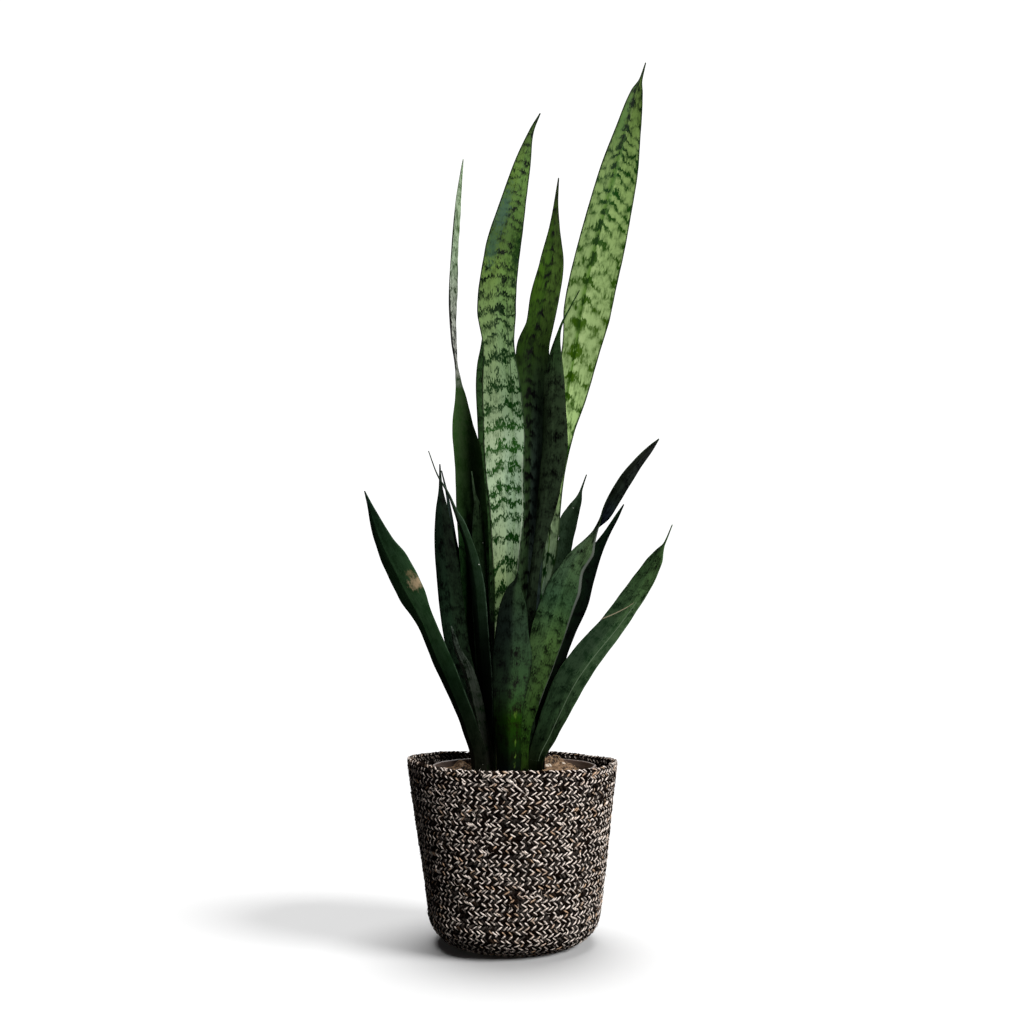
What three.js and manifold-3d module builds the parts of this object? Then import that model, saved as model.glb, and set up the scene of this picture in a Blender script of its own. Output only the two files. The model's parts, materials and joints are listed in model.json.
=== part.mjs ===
// A black coral snake plant in its plastic nursery pot, which stands in a soft basket of braided jute.
// Millimetres, +Z up, the front towards -Y. The origin is the centre of the basket's flat base.

import * as THREE from "three";
import { mergeVertices } from "three/addons/utils/BufferGeometryUtils.js";
import Module from "manifold-3d";

const wasm = await Module();
wasm.setup();

// The gap that two touching pieces keep, and the larger one round a leaf in its hole.
const SEAT_GAP = 0.3;
const HOLE_GAP = 0.8;
const HOLE_ABOVE = 4;

// The basket: a straight tapered side on a rounded bottom edge, of sewn rows of braid.
const BASKET = {
  height: 172,
  rimRadius: 105,
  footRadius: 85,
  cornerRadius: 33,
  wall: 6,
  sideRows: 17,
  cornerRows: 6,
  groove: 1.3,
  rimRound: 1.2,
  rimDrop: 0.9,
  sides: 40,
};

// The nursery pot, a little off the basket's axis.
const POT = {
  offset: 2,
  rimHeight: 167,
  rimRadius: 82,
  footRadius: 54,
  wall: 1.5,
  rimBand: 9,
  rimStep: 2,
  rimRound: 0.7,
  bandInset: 1,
  footBevel: 6,
  sides: 40,
};

// The soil, with its low mound at the back right.
const SOIL = {
  height: 158,
  mound: 13,
  moundX: 40,
  moundY: 50,
  moundSpread: 27,
  edgePower: 4,
  rings: 5,
  sides: 40,
  rootDepth: 30,
};

// A leaf's cross-section: thicker at the midrib, folded into a shallow channel, margins gently waved.
// Leaves narrower than waveWidth wave less, and waveLean is the phase between a leaf's two margins.
const LEAF = {
  thicknessAtTip: 0.8,
  thicknessPerWidth: 0.07,
  mostThickness: 3.4,
  margin: 0.8,
  channelAtRoot: 0.5,
  channelAtTip: 0.24,
  channelPower: 1.6,
  waveHeight: 1.1,
  waveLength: 88,
  waveWidth: 40,
  waveLean: 2,
  across: 4,
  ringSpacing: 22,
};

const COLOURS = {
  pale: "#7c9a5c",
  banded: "#54764a",
  olive: "#33491f",
  deep: "#14291a",
  fresh: "#1f4a22",
};

// Each leaf's midrib, from the soil to the tip, as x, y, z, the leaf's width there, and its turn: the
// direction in degrees that its inner face looks, from the front at 0 towards +X at 90.
const LEAVES = {
  leaf_tall_right: {
    colour: COLOURS.pale,
    midrib: [
      [16, 22, 164, 21, 10],
      [23, 26, 271, 17, 10],
      [32, 29, 343, 14, 10],
      [41, 31, 391, 15, 12],
      [45, 35, 463, 21, 14],
      [54, 37, 518, 28, 16],
      [62.5, 39, 552, 34, 16],
      [76.5, 41, 620, 46.5, 14],
      [81.5, 42, 650, 53.5, 13], [88.5, 43, 684, 55, 12],
      [103, 45, 744, 52, 9],
      [120, 47, 815, 44, 5],
      [132.5, 49, 869, 30, 5],
      [144, 51, 919, 14, 5],
      [149, 51, 935, 4, 5],
      [155, 52, 956, 1.4, 5],
    ],
  },
  leaf_tall_centre: {
    colour: COLOURS.banded,
    midrib: [
      [-6, -8, 167, 20, -5],
      [-6, -11, 290, 24, -5],
      [-6, -13, 339, 24, -4],
      [-6, -14, 372, 28, -2],
      [-5, -14, 420, 36, 2],
      [-8, -14, 463, 40, 4],
      [-9, -13, 506, 44, 8],
      [-11, -12, 539, 42, 10],
      [-15, -10, 597, 35, 14],
      [-17.5, -8, 633, 42, 16],
      [-12, -6, 696, 39.5, 18],
      [-1.5, -3, 748, 31, 20],
      [11, -1, 804, 18.5, 20],
      [21.5, 1, 844, 5.5, 20],
      [31, 2, 865, 1.4, 20],
    ],
  },
  leaf_tall_inner: {
    colour: COLOURS.olive,
    midrib: [
      [5, 10, 166, 18, -8],
      [13, 13, 291, 27, -8],
      [18, 17, 416, 35, -6],
      [20, 20, 524, 40, 0],
      [22, 22, 601, 36, 5],
      [30, 23, 631, 30, 6],
      [35, 24, 660, 32, 8],
      [43, 25, 700, 27, 10],
      [47, 27, 745, 12, 12],
      [49, 28, 774, 5, 12],
      [52, 29, 803, 1.4, 12],
    ],
  },
  leaf_dark_inner: {
    colour: COLOURS.deep,
    midrib: [
      [14, -6, 167, 18, 150],
      [15, -6, 281, 15, 150],
      [21, -6, 349, 12, 150],
      [28, -6, 392, 14, 150],
      [36, -6, 439, 26, 150],
      [43, -6, 497, 30, 150],
      [43, -5, 555, 25, 150],
      [45, -4, 591, 15, 145],
      [51, -3, 619, 4, 140],
      [63, -2, 644, 2, 135],
      [72, -1, 661, 1.4, 130],
    ],
  },
  leaf_tall_left: {
    colour: COLOURS.deep,
    midrib: [
      [-29, 18, 165, 17, 20],
      [-36, 21, 291, 25, 20],
      [-42, 23, 396, 34, 20],
      [-48, 25, 483, 32, 22],
      [-54, 26, 520, 25, 30],
      [-56, 27, 549, 17, 40],
      [-59, 28, 571, 11, 58],
      [-61, 29, 589, 11, 86],
      [-64.3, 30, 616, 20, 81],
      [-66.6, 31, 662, 26, 77],
      [-64.6, 33, 720, 24, 77],
      [-61.4, 35, 773, 17, 77],
      [-57, 37, 814, 8, 77],
      [-55, 38, 830, 1.4, 77],
    ],
  },
  leaf_back_left: {
    colour: COLOURS.deep,
    midrib: [
      [-14, 29, 164, 18, 0],
      [-19, 32, 291, 25, 0],
      [-20, 35, 397, 28, 0],
      [-23, 37, 500, 27, 0],
      [-25.5, 38, 551, 27, 0],
      [-29, 39, 593, 18, 0],
      [-29, 40, 612, 11, 0],
      [-28, 41, 652, 1.4, 0],
    ],
  },
  leaf_low_left: {
    colour: COLOURS.deep,
    midrib: [
      [-34, -30, 170, 19, 140],
      [-43, -33, 205, 21, 142],
      [-58.5, -37, 244, 22, 142],
      [-72, -41, 274, 24, 142],
      [-85.5, -44, 306, 24, 142],
      [-101.3, -47, 336, 33, 142],
      [-114.7, -50, 362, 34, 142],
      [-126.6, -52, 385, 24, 143],
      [-134.2, -54, 404, 15, 145],
      [-140, -55, 421, 6.5, 145],
      [-145, -56, 435, 1.4, 145],
    ],
  },
  leaf_left_inner: {
    colour: COLOURS.deep,
    midrib: [
      [-26, -10, 168, 16, 150],
      [-27, -14, 231, 16, 150],
      [-31, -18, 290, 17, 150],
      [-35, -21, 340, 16, 150],
      [-40, -23, 370, 14, 148],
      [-45, -24, 389, 11, 146],
      [-52, -25, 408, 9, 144],
      [-57, -25, 419, 5, 142],
      [-64, -26, 436, 3, 140],
      [-76, -26, 457, 2, 135],
      [-85, -27, 481, 1.4, 130],
    ],
  },
  leaf_left_upright: {
    colour: COLOURS.deep,
    midrib: [
      [-32, 2, 166, 16, 170],
      [-42, 1, 231, 19, 170],
      [-57, 0, 290, 25, 172],
      [-62.5, -1, 329, 25.5, 175],
      [-66.6, -2, 365, 24.5, 175],
      [-70.6, -2, 397, 19.5, 175],
      [-72.6, -3, 424, 13, 175],
      [-74, -3, 449, 4, 175],
      [-75, -3, 472, 1.4, 175],
    ],
  },
  leaf_left_behind: {
    colour: COLOURS.deep,
    midrib: [
      [-37, 26, 164, 13, 160],
      [-41, 26, 230, 15, 160],
      [-48, 26, 291, 18, 160],
      [-53, 26, 333, 19, 160],
      [-58, 25, 366, 15, 160],
      [-63, 25, 394, 10, 160],
      [-65, 24, 417, 6, 160],
      [-69, 24, 444, 3, 160],
      [-75, 23, 470, 1.4, 160],
    ],
  },
  leaf_short_right: {
    colour: COLOURS.deep,
    midrib: [
      [18, 34, 163, 17, 30],
      [26, 36, 229, 17, 30],
      [37, 38, 291, 16, 28],
      [46, 40, 344, 16, 26],
      [53, 42, 376, 17, 24],
      [57, 43, 397, 17, 22],
      [59, 44, 414, 21, 22],
      [66, 45, 431, 15, 22],
      [72, 46, 443, 8, 22],
      [75, 46, 453, 3, 22],
      [81, 47, 470, 1.4, 22],
    ],
  },
  leaf_twisted: {
    colour: COLOURS.fresh,
    midrib: [
      [6, -34, 170, 20, 180],
      [7, -35, 196, 21, 180],
      [15, -38, 230, 24, 180],
      [28, -42, 271, 29, 178],
      [37, -45, 305, 35, 174],
      [49, -48, 338, 35, 164],
      [60, -50, 363, 24, 154],
      [69, -50, 376, 24, 142],
      [75.5, -50, 387, 17, 126],
      [83, -50, 399, 14, 96],
      [91, -49, 413, 20, 66],
      [99, -47, 427, 19, 50],
      [110, -45, 445, 17, 42],
      [125, -43, 465, 11.5, 38],
      [139, -40, 481, 7, 36],
      [148, -39, 491, 1.4, 35],
    ],
  },
  leaf_right_inner: {
    colour: COLOURS.deep,
    midrib: [
      [27, 8, 166, 15, 200],
      [38, 10, 230, 17, 200],
      [49, 12, 276, 19, 200],
      [59, 13, 303, 19, 200],
      [71, 14, 330, 20, 200],
      [79, 15, 358, 19, 200],
      [88, 16, 381, 14, 200],
      [101, 17, 404, 7, 200],
      [110, 18, 419, 5, 200],
      [118, 19, 433, 1.4, 200],
    ],
  },
  leaf_low_right: {
    colour: COLOURS.fresh,
    midrib: [
      [24, -18, 168, 17, -35],
      [36.5, -18, 200, 27, -36],
      [46.5, -17, 222, 33, -38],
      [59, -15, 247, 35, -38],
      [79, -12, 276, 34, -38],
      [103, -9, 305, 29, -40],
      [118, -6, 325, 28, -42],
      [133, -3, 346, 29, -45],
      [147, 1, 370, 22, -48],
      [153, 3, 382, 11, -50],
      [158, 5, 390, 3, -50],
      [167, 8, 410, 1.4, -50],
    ],
  },
  leaf_front: {
    colour: COLOURS.fresh,
    midrib: [
      [-3, -46, 171, 23, 180],
      [-4, -50, 216, 28, 180],
      [-2, -54, 246, 34, 180],
      [0, -58, 271, 39, 180],
      [0, -61, 292, 33, 180],
      [1, -65, 321, 26, 180],
      [2, -67, 337, 15, 180],
      [5, -68, 346, 6, 180],
      [6, -69, 355, 1.4, 180],
    ],
  },
  leaf_front_left: {
    colour: COLOURS.deep,
    midrib: [
      [-25, -20, 169, 18, 140],
      [-31, -22, 205, 16, 140],
      [-37, -24, 232, 17, 140],
      [-44, -26, 259, 15, 140],
      [-52, -28, 276, 10, 140],
      [-57, -30, 290, 7, 140],
      [-60, -31, 304, 1.4, 140],
    ],
  },
  leaf_mid_left: {
    colour: COLOURS.deep,
    midrib: [
      [-22, 8, 166, 14, 190],
      [-28, 6, 271, 19, 190],
      [-32, 4, 331, 18, 190],
      [-34, 2, 376, 16, 190],
      [-35, 1, 409, 12, 190],
      [-36, 0, 429, 7, 190],
      [-39, 0, 442, 3, 190],
      [-42, 0, 465, 1.4, 190],
    ],
  },
  leaf_back_centre: {
    colour: COLOURS.deep,
    midrib: [
      [2, 44, 163, 20, -5],
      [4, 52, 230, 28, -5],
      [6, 68, 310, 34, -5],
      [8, 92, 390, 30, -5],
      [9, 112, 440, 16, -5],
      [10, 124, 466, 1.4, -5],
    ],
  },
  leaf_back_right: {
    colour: COLOURS.deep,
    midrib: [
      [26, 50, 170, 18, 30],
      [34, 58, 215, 25, 32],
      [43, 74, 280, 30, 35],
      [53, 95, 335, 26, 38],
      [61, 111, 368, 13, 40],
      [65, 121, 388, 1.4, 40],
    ],
  },
  leaf_back_low: {
    colour: COLOURS.deep,
    midrib: [
      [-22, 42, 163, 18, -30],
      [-27, 54, 215, 25, -30],
      [-34, 76, 275, 30, -30],
      [-41, 102, 325, 25, -30],
      [-46, 118, 352, 12, -30],
      [-50, 130, 368, 1.4, -30],
    ],
  },
};

// Geometry with nothing but merged positions, which is what a solid is made from.
function closedGeometry(geometry) {
  const bare = geometry.clone();
  bare.deleteAttribute("normal");
  bare.deleteAttribute("uv");
  return mergeVertices(bare, 1e-3);
}

function toSolid(geometry) {
  const closed = closedGeometry(geometry);
  return new wasm.Manifold(
    new wasm.Mesh({
      numProp: 3,
      vertProperties: closed.attributes.position.array,
      triVerts: new Uint32Array(closed.index.array),
    }),
  );
}

function fromSolid(solid) {
  const { vertProperties, triVerts } = solid.getMesh();
  const geometry = new THREE.BufferGeometry();
  geometry.setAttribute("position", new THREE.BufferAttribute(vertProperties, 3));
  geometry.setIndex(new THREE.BufferAttribute(triVerts, 1));
  geometry.computeVertexNormals();
  return geometry;
}

// A turned shape about +Z. The profile runs from the axis at the bottom, up the outside, to the axis.
function turned(profile, sides) {
  const points = profile.map(([radius, height]) => new THREE.Vector2(radius, height));
  const geometry = new THREE.LatheGeometry(points, sides);
  return geometry.rotateX(Math.PI / 2);
}

function finish(colour, roughness) {
  return new THREE.MeshStandardMaterial({ color: colour, roughness, metalness: 0 });
}

function named(name, geometry, material) {
  const mesh = new THREE.Mesh(geometry, material);
  mesh.name = name;
  return mesh;
}

// Points from bottom to top over the rounded edge and the side, for a wall offset inwards by inset.
function basketWall(inset, along) {
  const { height, rimRadius, footRadius, cornerRadius } = BASKET;
  const corner = cornerRadius - inset;
  if (along <= 1) {
    const angle = (along * Math.PI) / 2;
    return [
      footRadius - cornerRadius + corner * Math.sin(angle),
      cornerRadius - corner * Math.cos(angle),
    ];
  }
  const up = along - 1;
  return [
    THREE.MathUtils.lerp(footRadius, rimRadius, up) - inset,
    THREE.MathUtils.lerp(cornerRadius, height, up),
  ];
}

// One crest and one groove a row, then the rounded rim and the plain inner wall.
function basketGeometry() {
  const { height, rimRadius, footRadius, cornerRadius, wall, groove } = BASKET;
  const { rimRound, rimDrop, sideRows, cornerRows, sides } = BASKET;
  const innerCorner = [1, 2 / 3, 1 / 3, 0];
  const profile = [
    [0, 0],
    [footRadius - cornerRadius, 0],
  ];
  for (let row = 0; row < cornerRows; row++) {
    profile.push(basketWall(0, (row + 0.5) / cornerRows));
    profile.push(basketWall(groove, (row + 1) / cornerRows));
  }
  for (let row = 0; row < sideRows; row++) {
    profile.push(basketWall(0, 1 + (row + 0.5) / sideRows));
    if (row < sideRows - 1) {
      profile.push(basketWall(groove, 1 + (row + 1) / sideRows));
    }
  }
  profile.push([rimRadius - rimRound, height - rimDrop]);
  profile.push([rimRadius - wall / 2, height]);
  profile.push([rimRadius - wall + rimRound, height - rimDrop]);
  profile.push(basketWall(wall, 2 - 0.5 / sideRows));
  for (const along of innerCorner) {
    profile.push(basketWall(wall, along));
  }
  profile.push([0, wall]);
  return turned(profile, sides);
}

// The pot's outer profile is a foot bevel, a tapered side and a rim band; the inner one follows it.
function potGeometry() {
  const { rimHeight, rimRadius, footRadius, wall, rimBand, rimStep, rimRound } = POT;
  const { bandInset, footBevel, sides } = POT;
  const floor = BASKET.wall + SEAT_GAP;
  const sideTop = rimRadius - rimStep - bandInset;
  const bandFoot = rimHeight - rimBand;
  return turned(
    [
      [0, floor],
      [footRadius - footBevel, floor],
      [footRadius, floor + footBevel],
      [sideTop, bandFoot],
      [rimRadius, bandFoot + rimStep],
      [rimRadius, rimHeight - rimRound],
      [rimRadius - rimRound, rimHeight],
      [rimRadius - wall - rimRound, rimHeight],
      [rimRadius - wall - rimStep, rimHeight - rimStep],
      [sideTop - wall, bandFoot],
      [footRadius - wall, floor + footBevel],
      [footRadius - footBevel, floor + wall],
      [0, floor + wall],
    ],
    sides,
  );
}

// How far the soil's surface rises above its plain level at a point.
function moundAt(x, y) {
  const { mound, moundX, moundY, moundSpread } = SOIL;
  return mound * Math.exp(-((x - moundX) ** 2 + (y - moundY) ** 2) / moundSpread ** 2);
}

// The soil fills the pot to its level, a seat gap off the wall, with its top raised into the mound.
function soilGeometry() {
  const { height, edgePower, rings, sides } = SOIL;
  const floor = BASKET.wall + SEAT_GAP + POT.wall;
  const sideTop = POT.rimRadius - POT.rimStep - POT.bandInset - POT.wall;
  const sideFoot = POT.footRadius - POT.wall;
  const wallTop = POT.rimHeight - POT.rimBand - floor - POT.footBevel;
  const rise = (height - floor - POT.footBevel) / wallTop;
  const edge = THREE.MathUtils.lerp(sideFoot, sideTop, rise) - 2 * SEAT_GAP;
  const profile = [
    [0, floor + SEAT_GAP],
    [POT.footRadius - POT.footBevel - 2 * SEAT_GAP, floor + SEAT_GAP],
    [sideFoot - 2 * SEAT_GAP, floor + POT.footBevel],
  ];
  for (let ring = rings; ring >= 0; ring--) {
    profile.push([(edge * ring) / rings, height]);
  }
  const geometry = closedGeometry(turned(profile, sides));
  const position = geometry.attributes.position;
  for (let i = 0; i < position.count; i++) {
    const x = position.getX(i);
    const y = position.getY(i);
    const inside = Math.max(1 - (Math.hypot(x, y) / edge) ** edgePower, 0);
    const onTop = position.getZ(i) > height - SEAT_GAP;
    if (onTop) {
      position.setZ(i, height + moundAt(x, y) * inside);
    }
  }
  return geometry;
}

// Knots are the distances between the given points, and the slopes never overshoot a point.
function smoothTable(rows) {
  const knots = [0];
  for (let i = 1; i < rows.length; i++) {
    const step = Math.hypot(...[0, 1, 2].map((axis) => rows[i][axis] - rows[i - 1][axis]));
    knots.push(knots[i - 1] + step);
  }
  const columns = rows[0].map((unused, column) => rows.map((row) => row[column]));
  const slopes = columns.map((values) => limitedSlopes(knots, values));
  return { knots, columns, slopes };
}

function limitedSlopes(knots, values) {
  const last = values.length - 1;
  const chord = (i) => (values[i + 1] - values[i]) / (knots[i + 1] - knots[i]);
  return values.map((unused, i) => {
    if (i === 0) return chord(0);
    if (i === last) return chord(last - 1);
    const before = chord(i - 1);
    const after = chord(i);
    if (before * after <= 0) return 0;
    const stepBefore = knots[i] - knots[i - 1];
    const stepAfter = knots[i + 1] - knots[i];
    const weightBefore = 2 * stepAfter + stepBefore;
    const weightAfter = stepAfter + 2 * stepBefore;
    return (weightBefore + weightAfter) / (weightBefore / before + weightAfter / after);
  });
}

// The cubic through the table's columns at a share of one span.
function sampleTable({ knots, columns, slopes }, span, share) {
  const step = knots[span + 1] - knots[span];
  const s2 = share * share;
  const s3 = s2 * share;
  const row = columns.map(
    (values, column) =>
      (2 * s3 - 3 * s2 + 1) * values[span] +
      (s3 - 2 * s2 + share) * step * slopes[column][span] +
      (3 * s2 - 2 * s3) * values[span + 1] +
      (s3 - s2) * step * slopes[column][span + 1],
  );
  return { row, distance: knots[span] + share * step };
}

function leafThickness(width) {
  return Math.min(LEAF.thicknessAtTip + LEAF.thicknessPerWidth * width, LEAF.mostThickness);
}

// The rows of the midrib with the root added, which stands straight down in its hole.
function rooted(midrib) {
  const [x, y, , width, turn] = midrib[0];
  return [[x, y, SOIL.height - SOIL.rootDepth + SEAT_GAP, width, turn], ...midrib];
}

// One ring of a leaf: the inner face from margin to margin, then the outer face back again.
function leafRing(sample, along, share, phase) {
  const [x, y, z, width, turn] = sample.row;
  const facing = THREE.MathUtils.degToRad(turn);
  const inward = new THREE.Vector3(Math.sin(facing), -Math.cos(facing), 0);
  inward.addScaledVector(along, -inward.dot(along)).normalize();
  const across = new THREE.Vector3().crossVectors(along, inward);
  const channel = THREE.MathUtils.lerp(LEAF.channelAtRoot, LEAF.channelAtTip, share);
  const thickness = leafThickness(width);
  const points = [];
  for (const face of [1, -1]) {
    for (let i = 0; i <= LEAF.across; i++) {
      const side = face * ((2 * i) / LEAF.across - 1);
      const fold = channel * (Math.abs(side) ** LEAF.channelPower - 1 / 3) * (width / 2);
      const swing = (2 * Math.PI * sample.distance) / LEAF.waveLength + phase + LEAF.waveLean * side;
      const height = LEAF.waveHeight * Math.min(width / LEAF.waveWidth, 1);
      const wave = height * Math.abs(side) ** 3 * Math.sin(swing);
      const skin = LEAF.margin + (thickness - LEAF.margin) * (1 - side * side);
      points.push(
        new THREE.Vector3(x, y, z)
          .addScaledVector(across, (side * width) / 2)
          .addScaledVector(inward, fold + wave + (face * skin) / 2),
      );
    }
  }
  return points;
}

// A leaf is its rings joined in a tube, with both ends closed by strips between its two faces.
function leafGeometry(midrib, phase) {
  const table = smoothTable(rooted(midrib));
  const samples = [];
  for (let span = 0; span < table.knots.length - 1; span++) {
    const spanLength = table.knots[span + 1] - table.knots[span];
    const steps = Math.max(1, Math.round(spanLength / LEAF.ringSpacing));
    for (let i = 0; i < steps; i++) {
      samples.push(sampleTable(table, span, i / steps));
    }
  }
  samples.push(sampleTable(table, table.knots.length - 2, 1));
  const centres = samples.map(({ row }) => new THREE.Vector3(row[0], row[1], row[2]));
  const length = table.knots[table.knots.length - 1];
  const last = samples.length - 1;
  const rings = samples.map((sample, i) => {
    const along = centres[Math.min(i + 1, last)].clone().sub(centres[Math.max(i - 1, 0)]);
    return leafRing(sample, along.normalize(), sample.distance / length, phase);
  });
  return tubeThrough(rings);
}

// The faces split alike: the same diagonal of each quad on the inner and on the outer face.
function tubeThrough(rings) {
  const around = rings[0].length;
  const half = around / 2;
  const index = [];
  for (let ring = 0; ring < rings.length - 1; ring++) {
    for (let i = 0; i < around; i++) {
      const a = ring * around + i;
      const b = ring * around + ((i + 1) % around);
      const c = b + around;
      const d = a + around;
      if (i < half) index.push(a, b, c, a, c, d);
      else index.push(a, b, d, b, c, d);
    }
  }
  const top = (rings.length - 1) * around;
  for (let i = 0; i < half - 1; i++) {
    const opposite = around - 1 - i;
    index.push(i, opposite, opposite - 1, i, opposite - 1, i + 1);
    index.push(top + i, top + i + 1, top + opposite - 1, top + i, top + opposite - 1, top + opposite);
  }
  const geometry = new THREE.BufferGeometry().setFromPoints(rings.flat());
  geometry.setIndex(index);
  geometry.computeVertexNormals();
  return geometry;
}

// A plain hole for a leaf's root, as wide as its folded section with clearance all round.
function rootHole(midrib) {
  const [x, y, , width, turn] = midrib[0];
  const folded = LEAF.channelAtRoot * (width / 2);
  const depth = folded + leafThickness(width);
  const tall = SOIL.rootDepth + SOIL.mound + HOLE_ABOVE;
  const hole = new THREE.BoxGeometry(width + 2 * HOLE_GAP, depth + 2 * HOLE_GAP, tall);
  hole.translate(0, -folded / 6, 0);
  hole.rotateZ(THREE.MathUtils.degToRad(turn));
  hole.translate(x - POT.offset, y, SOIL.height - SOIL.rootDepth + tall / 2);
  return toSolid(hole);
}

function buildSoil() {
  let solid = toSolid(soilGeometry());
  for (const { midrib } of Object.values(LEAVES)) {
    solid = solid.subtract(rootHole(midrib));
  }
  return named("soil", fromSolid(solid), finish("#3b2a1c", 0.95));
}

function buildPlanter() {
  const planter = new THREE.Group();
  planter.position.x = POT.offset;
  planter.add(named("nursery_pot", potGeometry(), finish("#6b5a50", 0.6)));
  planter.add(buildSoil());
  return planter;
}

function buildLeaves() {
  const leaves = new THREE.Group();
  Object.entries(LEAVES).forEach(([name, { colour, midrib }], count) => {
    leaves.add(named(name, leafGeometry(midrib, count), finish(colour, 0.45)));
  });
  return leaves;
}

const plant = new THREE.Group();
plant.add(named("basket", basketGeometry(), finish("#6f6355", 0.95)));
plant.add(buildPlanter());
plant.add(buildLeaves());

export default plant;
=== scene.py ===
"""A black coral snake plant in its nursery pot, set in a soft basket of braided jute.

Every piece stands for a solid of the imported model, rides on its body and is made in metres in that
model's frame. Sizes below are in millimetres, as on the solids, and are scaled as a mesh is made.
"""
from __future__ import annotations

import json
import logging
import math
from dataclasses import dataclass, field
from enum import Enum

import bpy
import numpy as np
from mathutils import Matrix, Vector

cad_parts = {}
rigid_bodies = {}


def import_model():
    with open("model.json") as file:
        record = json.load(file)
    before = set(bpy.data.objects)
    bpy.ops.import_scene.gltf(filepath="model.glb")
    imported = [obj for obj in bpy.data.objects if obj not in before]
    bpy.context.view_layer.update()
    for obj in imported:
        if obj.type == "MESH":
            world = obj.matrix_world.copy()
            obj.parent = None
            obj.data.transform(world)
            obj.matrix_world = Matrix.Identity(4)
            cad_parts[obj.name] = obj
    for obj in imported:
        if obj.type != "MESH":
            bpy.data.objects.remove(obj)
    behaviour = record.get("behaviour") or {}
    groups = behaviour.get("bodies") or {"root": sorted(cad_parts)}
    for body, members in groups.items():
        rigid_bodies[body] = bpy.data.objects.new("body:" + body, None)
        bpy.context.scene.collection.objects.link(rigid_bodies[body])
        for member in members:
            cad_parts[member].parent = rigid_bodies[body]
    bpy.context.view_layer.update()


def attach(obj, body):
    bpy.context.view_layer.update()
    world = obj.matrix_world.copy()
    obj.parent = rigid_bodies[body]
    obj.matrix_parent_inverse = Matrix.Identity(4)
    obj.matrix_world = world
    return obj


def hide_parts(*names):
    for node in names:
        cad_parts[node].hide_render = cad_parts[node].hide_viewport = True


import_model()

Array = np.ndarray
Colour = tuple[float, float, float]
Socket = bpy.types.NodeSocket

MM = 0.001
BODY = "root"
LOG = logging.getLogger("plant")


def tint(red: float, green: float, blue: float) -> Colour:
    """Linear colour of a display one: ((c / 255 + 0.055) / 1.055) ** 2.4 for each channel.

    Args:
        red, green, blue: display values from 0 to 255.

    Returns:
        The linear colour.
    """
    return tuple(((c / 255 + 0.055) / 1.055) ** 2.4 for c in (red, green, blue))


def ease(value: Array, low: float, high: float) -> Array:
    """Smooth step from 0 at low to 1 at high: 3 t^2 - 2 t^3, with t clamped to 0..1."""
    t = np.clip((value - low) / (high - low), 0, 1)
    return t * t * (3 - 2 * t)


def ripple(points: Array, waves: int, length: float, seed: int) -> Array:
    """Seeded smooth noise: the mean of sines of random direction, with wavelengths near length.

    Args:
        points: positions, (..., 2) or (..., 3).
        waves: how many sines are summed.
        length: the middle wavelength, in the units of the points.
        seed: the seed of the random directions and phases.

    Returns:
        Values from about -1 to 1, shaped as the points without their last axis.
    """
    draw = np.random.default_rng(seed)
    way = draw.normal(size=(waves, points.shape[-1]))
    way /= np.linalg.norm(way, axis=1, keepdims=True)
    way *= 2 * math.pi / (length * draw.uniform(0.6, 1.6, (waves, 1)))
    phase = draw.uniform(0, 2 * math.pi, waves)
    return np.sin(points @ way.T + phase).sum(-1) * math.sqrt(2 / waves) * 0.6


@dataclass
class Surface:
    """A mesh in the making: points in millimetres, faces by their count of corners, and layers."""

    points: Array
    faces: list[Array]
    layers: dict[str, Array] = field(default_factory=dict)

    def joined(self, other: Surface) -> Surface:
        """This surface and another with the same layers in one."""
        shift = len(self.points)
        layers = {k: np.concatenate([v, other.layers[k]]) for k, v in self.layers.items()}
        faces = self.faces + [f + shift for f in other.faces]
        return Surface(np.concatenate([self.points, other.points]), faces, layers)

    def made(self, name: str) -> bpy.types.Object:
        """The surface as a smooth mesh object in metres.

        Args:
            name: the object's name.

        Returns:
            The object, linked to the scene. A layer of one number a point becomes a float
            attribute, one of three a vector, and one of four a colour.
        """
        mesh = bpy.data.meshes.new(name)
        mesh.vertices.add(len(self.points))
        mesh.vertices.foreach_set("co", (self.points * MM).astype(np.float32).ravel())
        corners = np.concatenate([f.ravel() for f in self.faces]).astype(np.int32)
        sizes = np.concatenate([np.full(len(f), f.shape[1]) for f in self.faces])
        mesh.loops.add(len(corners))
        mesh.loops.foreach_set("vertex_index", corners)
        mesh.polygons.add(len(sizes))
        mesh.polygons.foreach_set("loop_start", (np.cumsum(sizes) - sizes).astype(np.int32))
        mesh.update(calc_edges=True)
        mesh.shade_smooth()
        kinds = {1: ("FLOAT", "value"), 3: ("FLOAT_VECTOR", "vector"), 4: ("FLOAT_COLOR", "color")}
        for layer, values in self.layers.items():
            kind, slot = kinds[1 if values.ndim == 1 else values.shape[1]]
            data = mesh.attributes.new(layer, kind, "POINT").data
            data.foreach_set(slot, values.astype(np.float32).ravel())
        piece = bpy.data.objects.new(name, mesh)
        bpy.context.scene.collection.objects.link(piece)
        return piece


def tube(rings: int, sides: int) -> list[Array]:
    """Faces of a closed tube whose points are numbered ring by ring, and then its two end points.

    Args:
        rings: rings of points, from the foot to the head.
        sides: points round a ring.

    Returns:
        The quads between the rings, and the triangles of the foot and of the head.
    """
    count = rings * sides
    i = np.arange(rings - 1)[:, None] * sides
    j = np.arange(sides)
    k = (j + 1) % sides
    quads = np.stack([i + j, i + k, i + sides + k, i + sides + j], -1).reshape(-1, 4)
    foot = np.stack([np.full(sides, count), k, j], -1)
    head = np.stack([np.full(sides, count + 1), count - sides + j, count - sides + k], -1)
    return [quads, foot, head]


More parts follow.
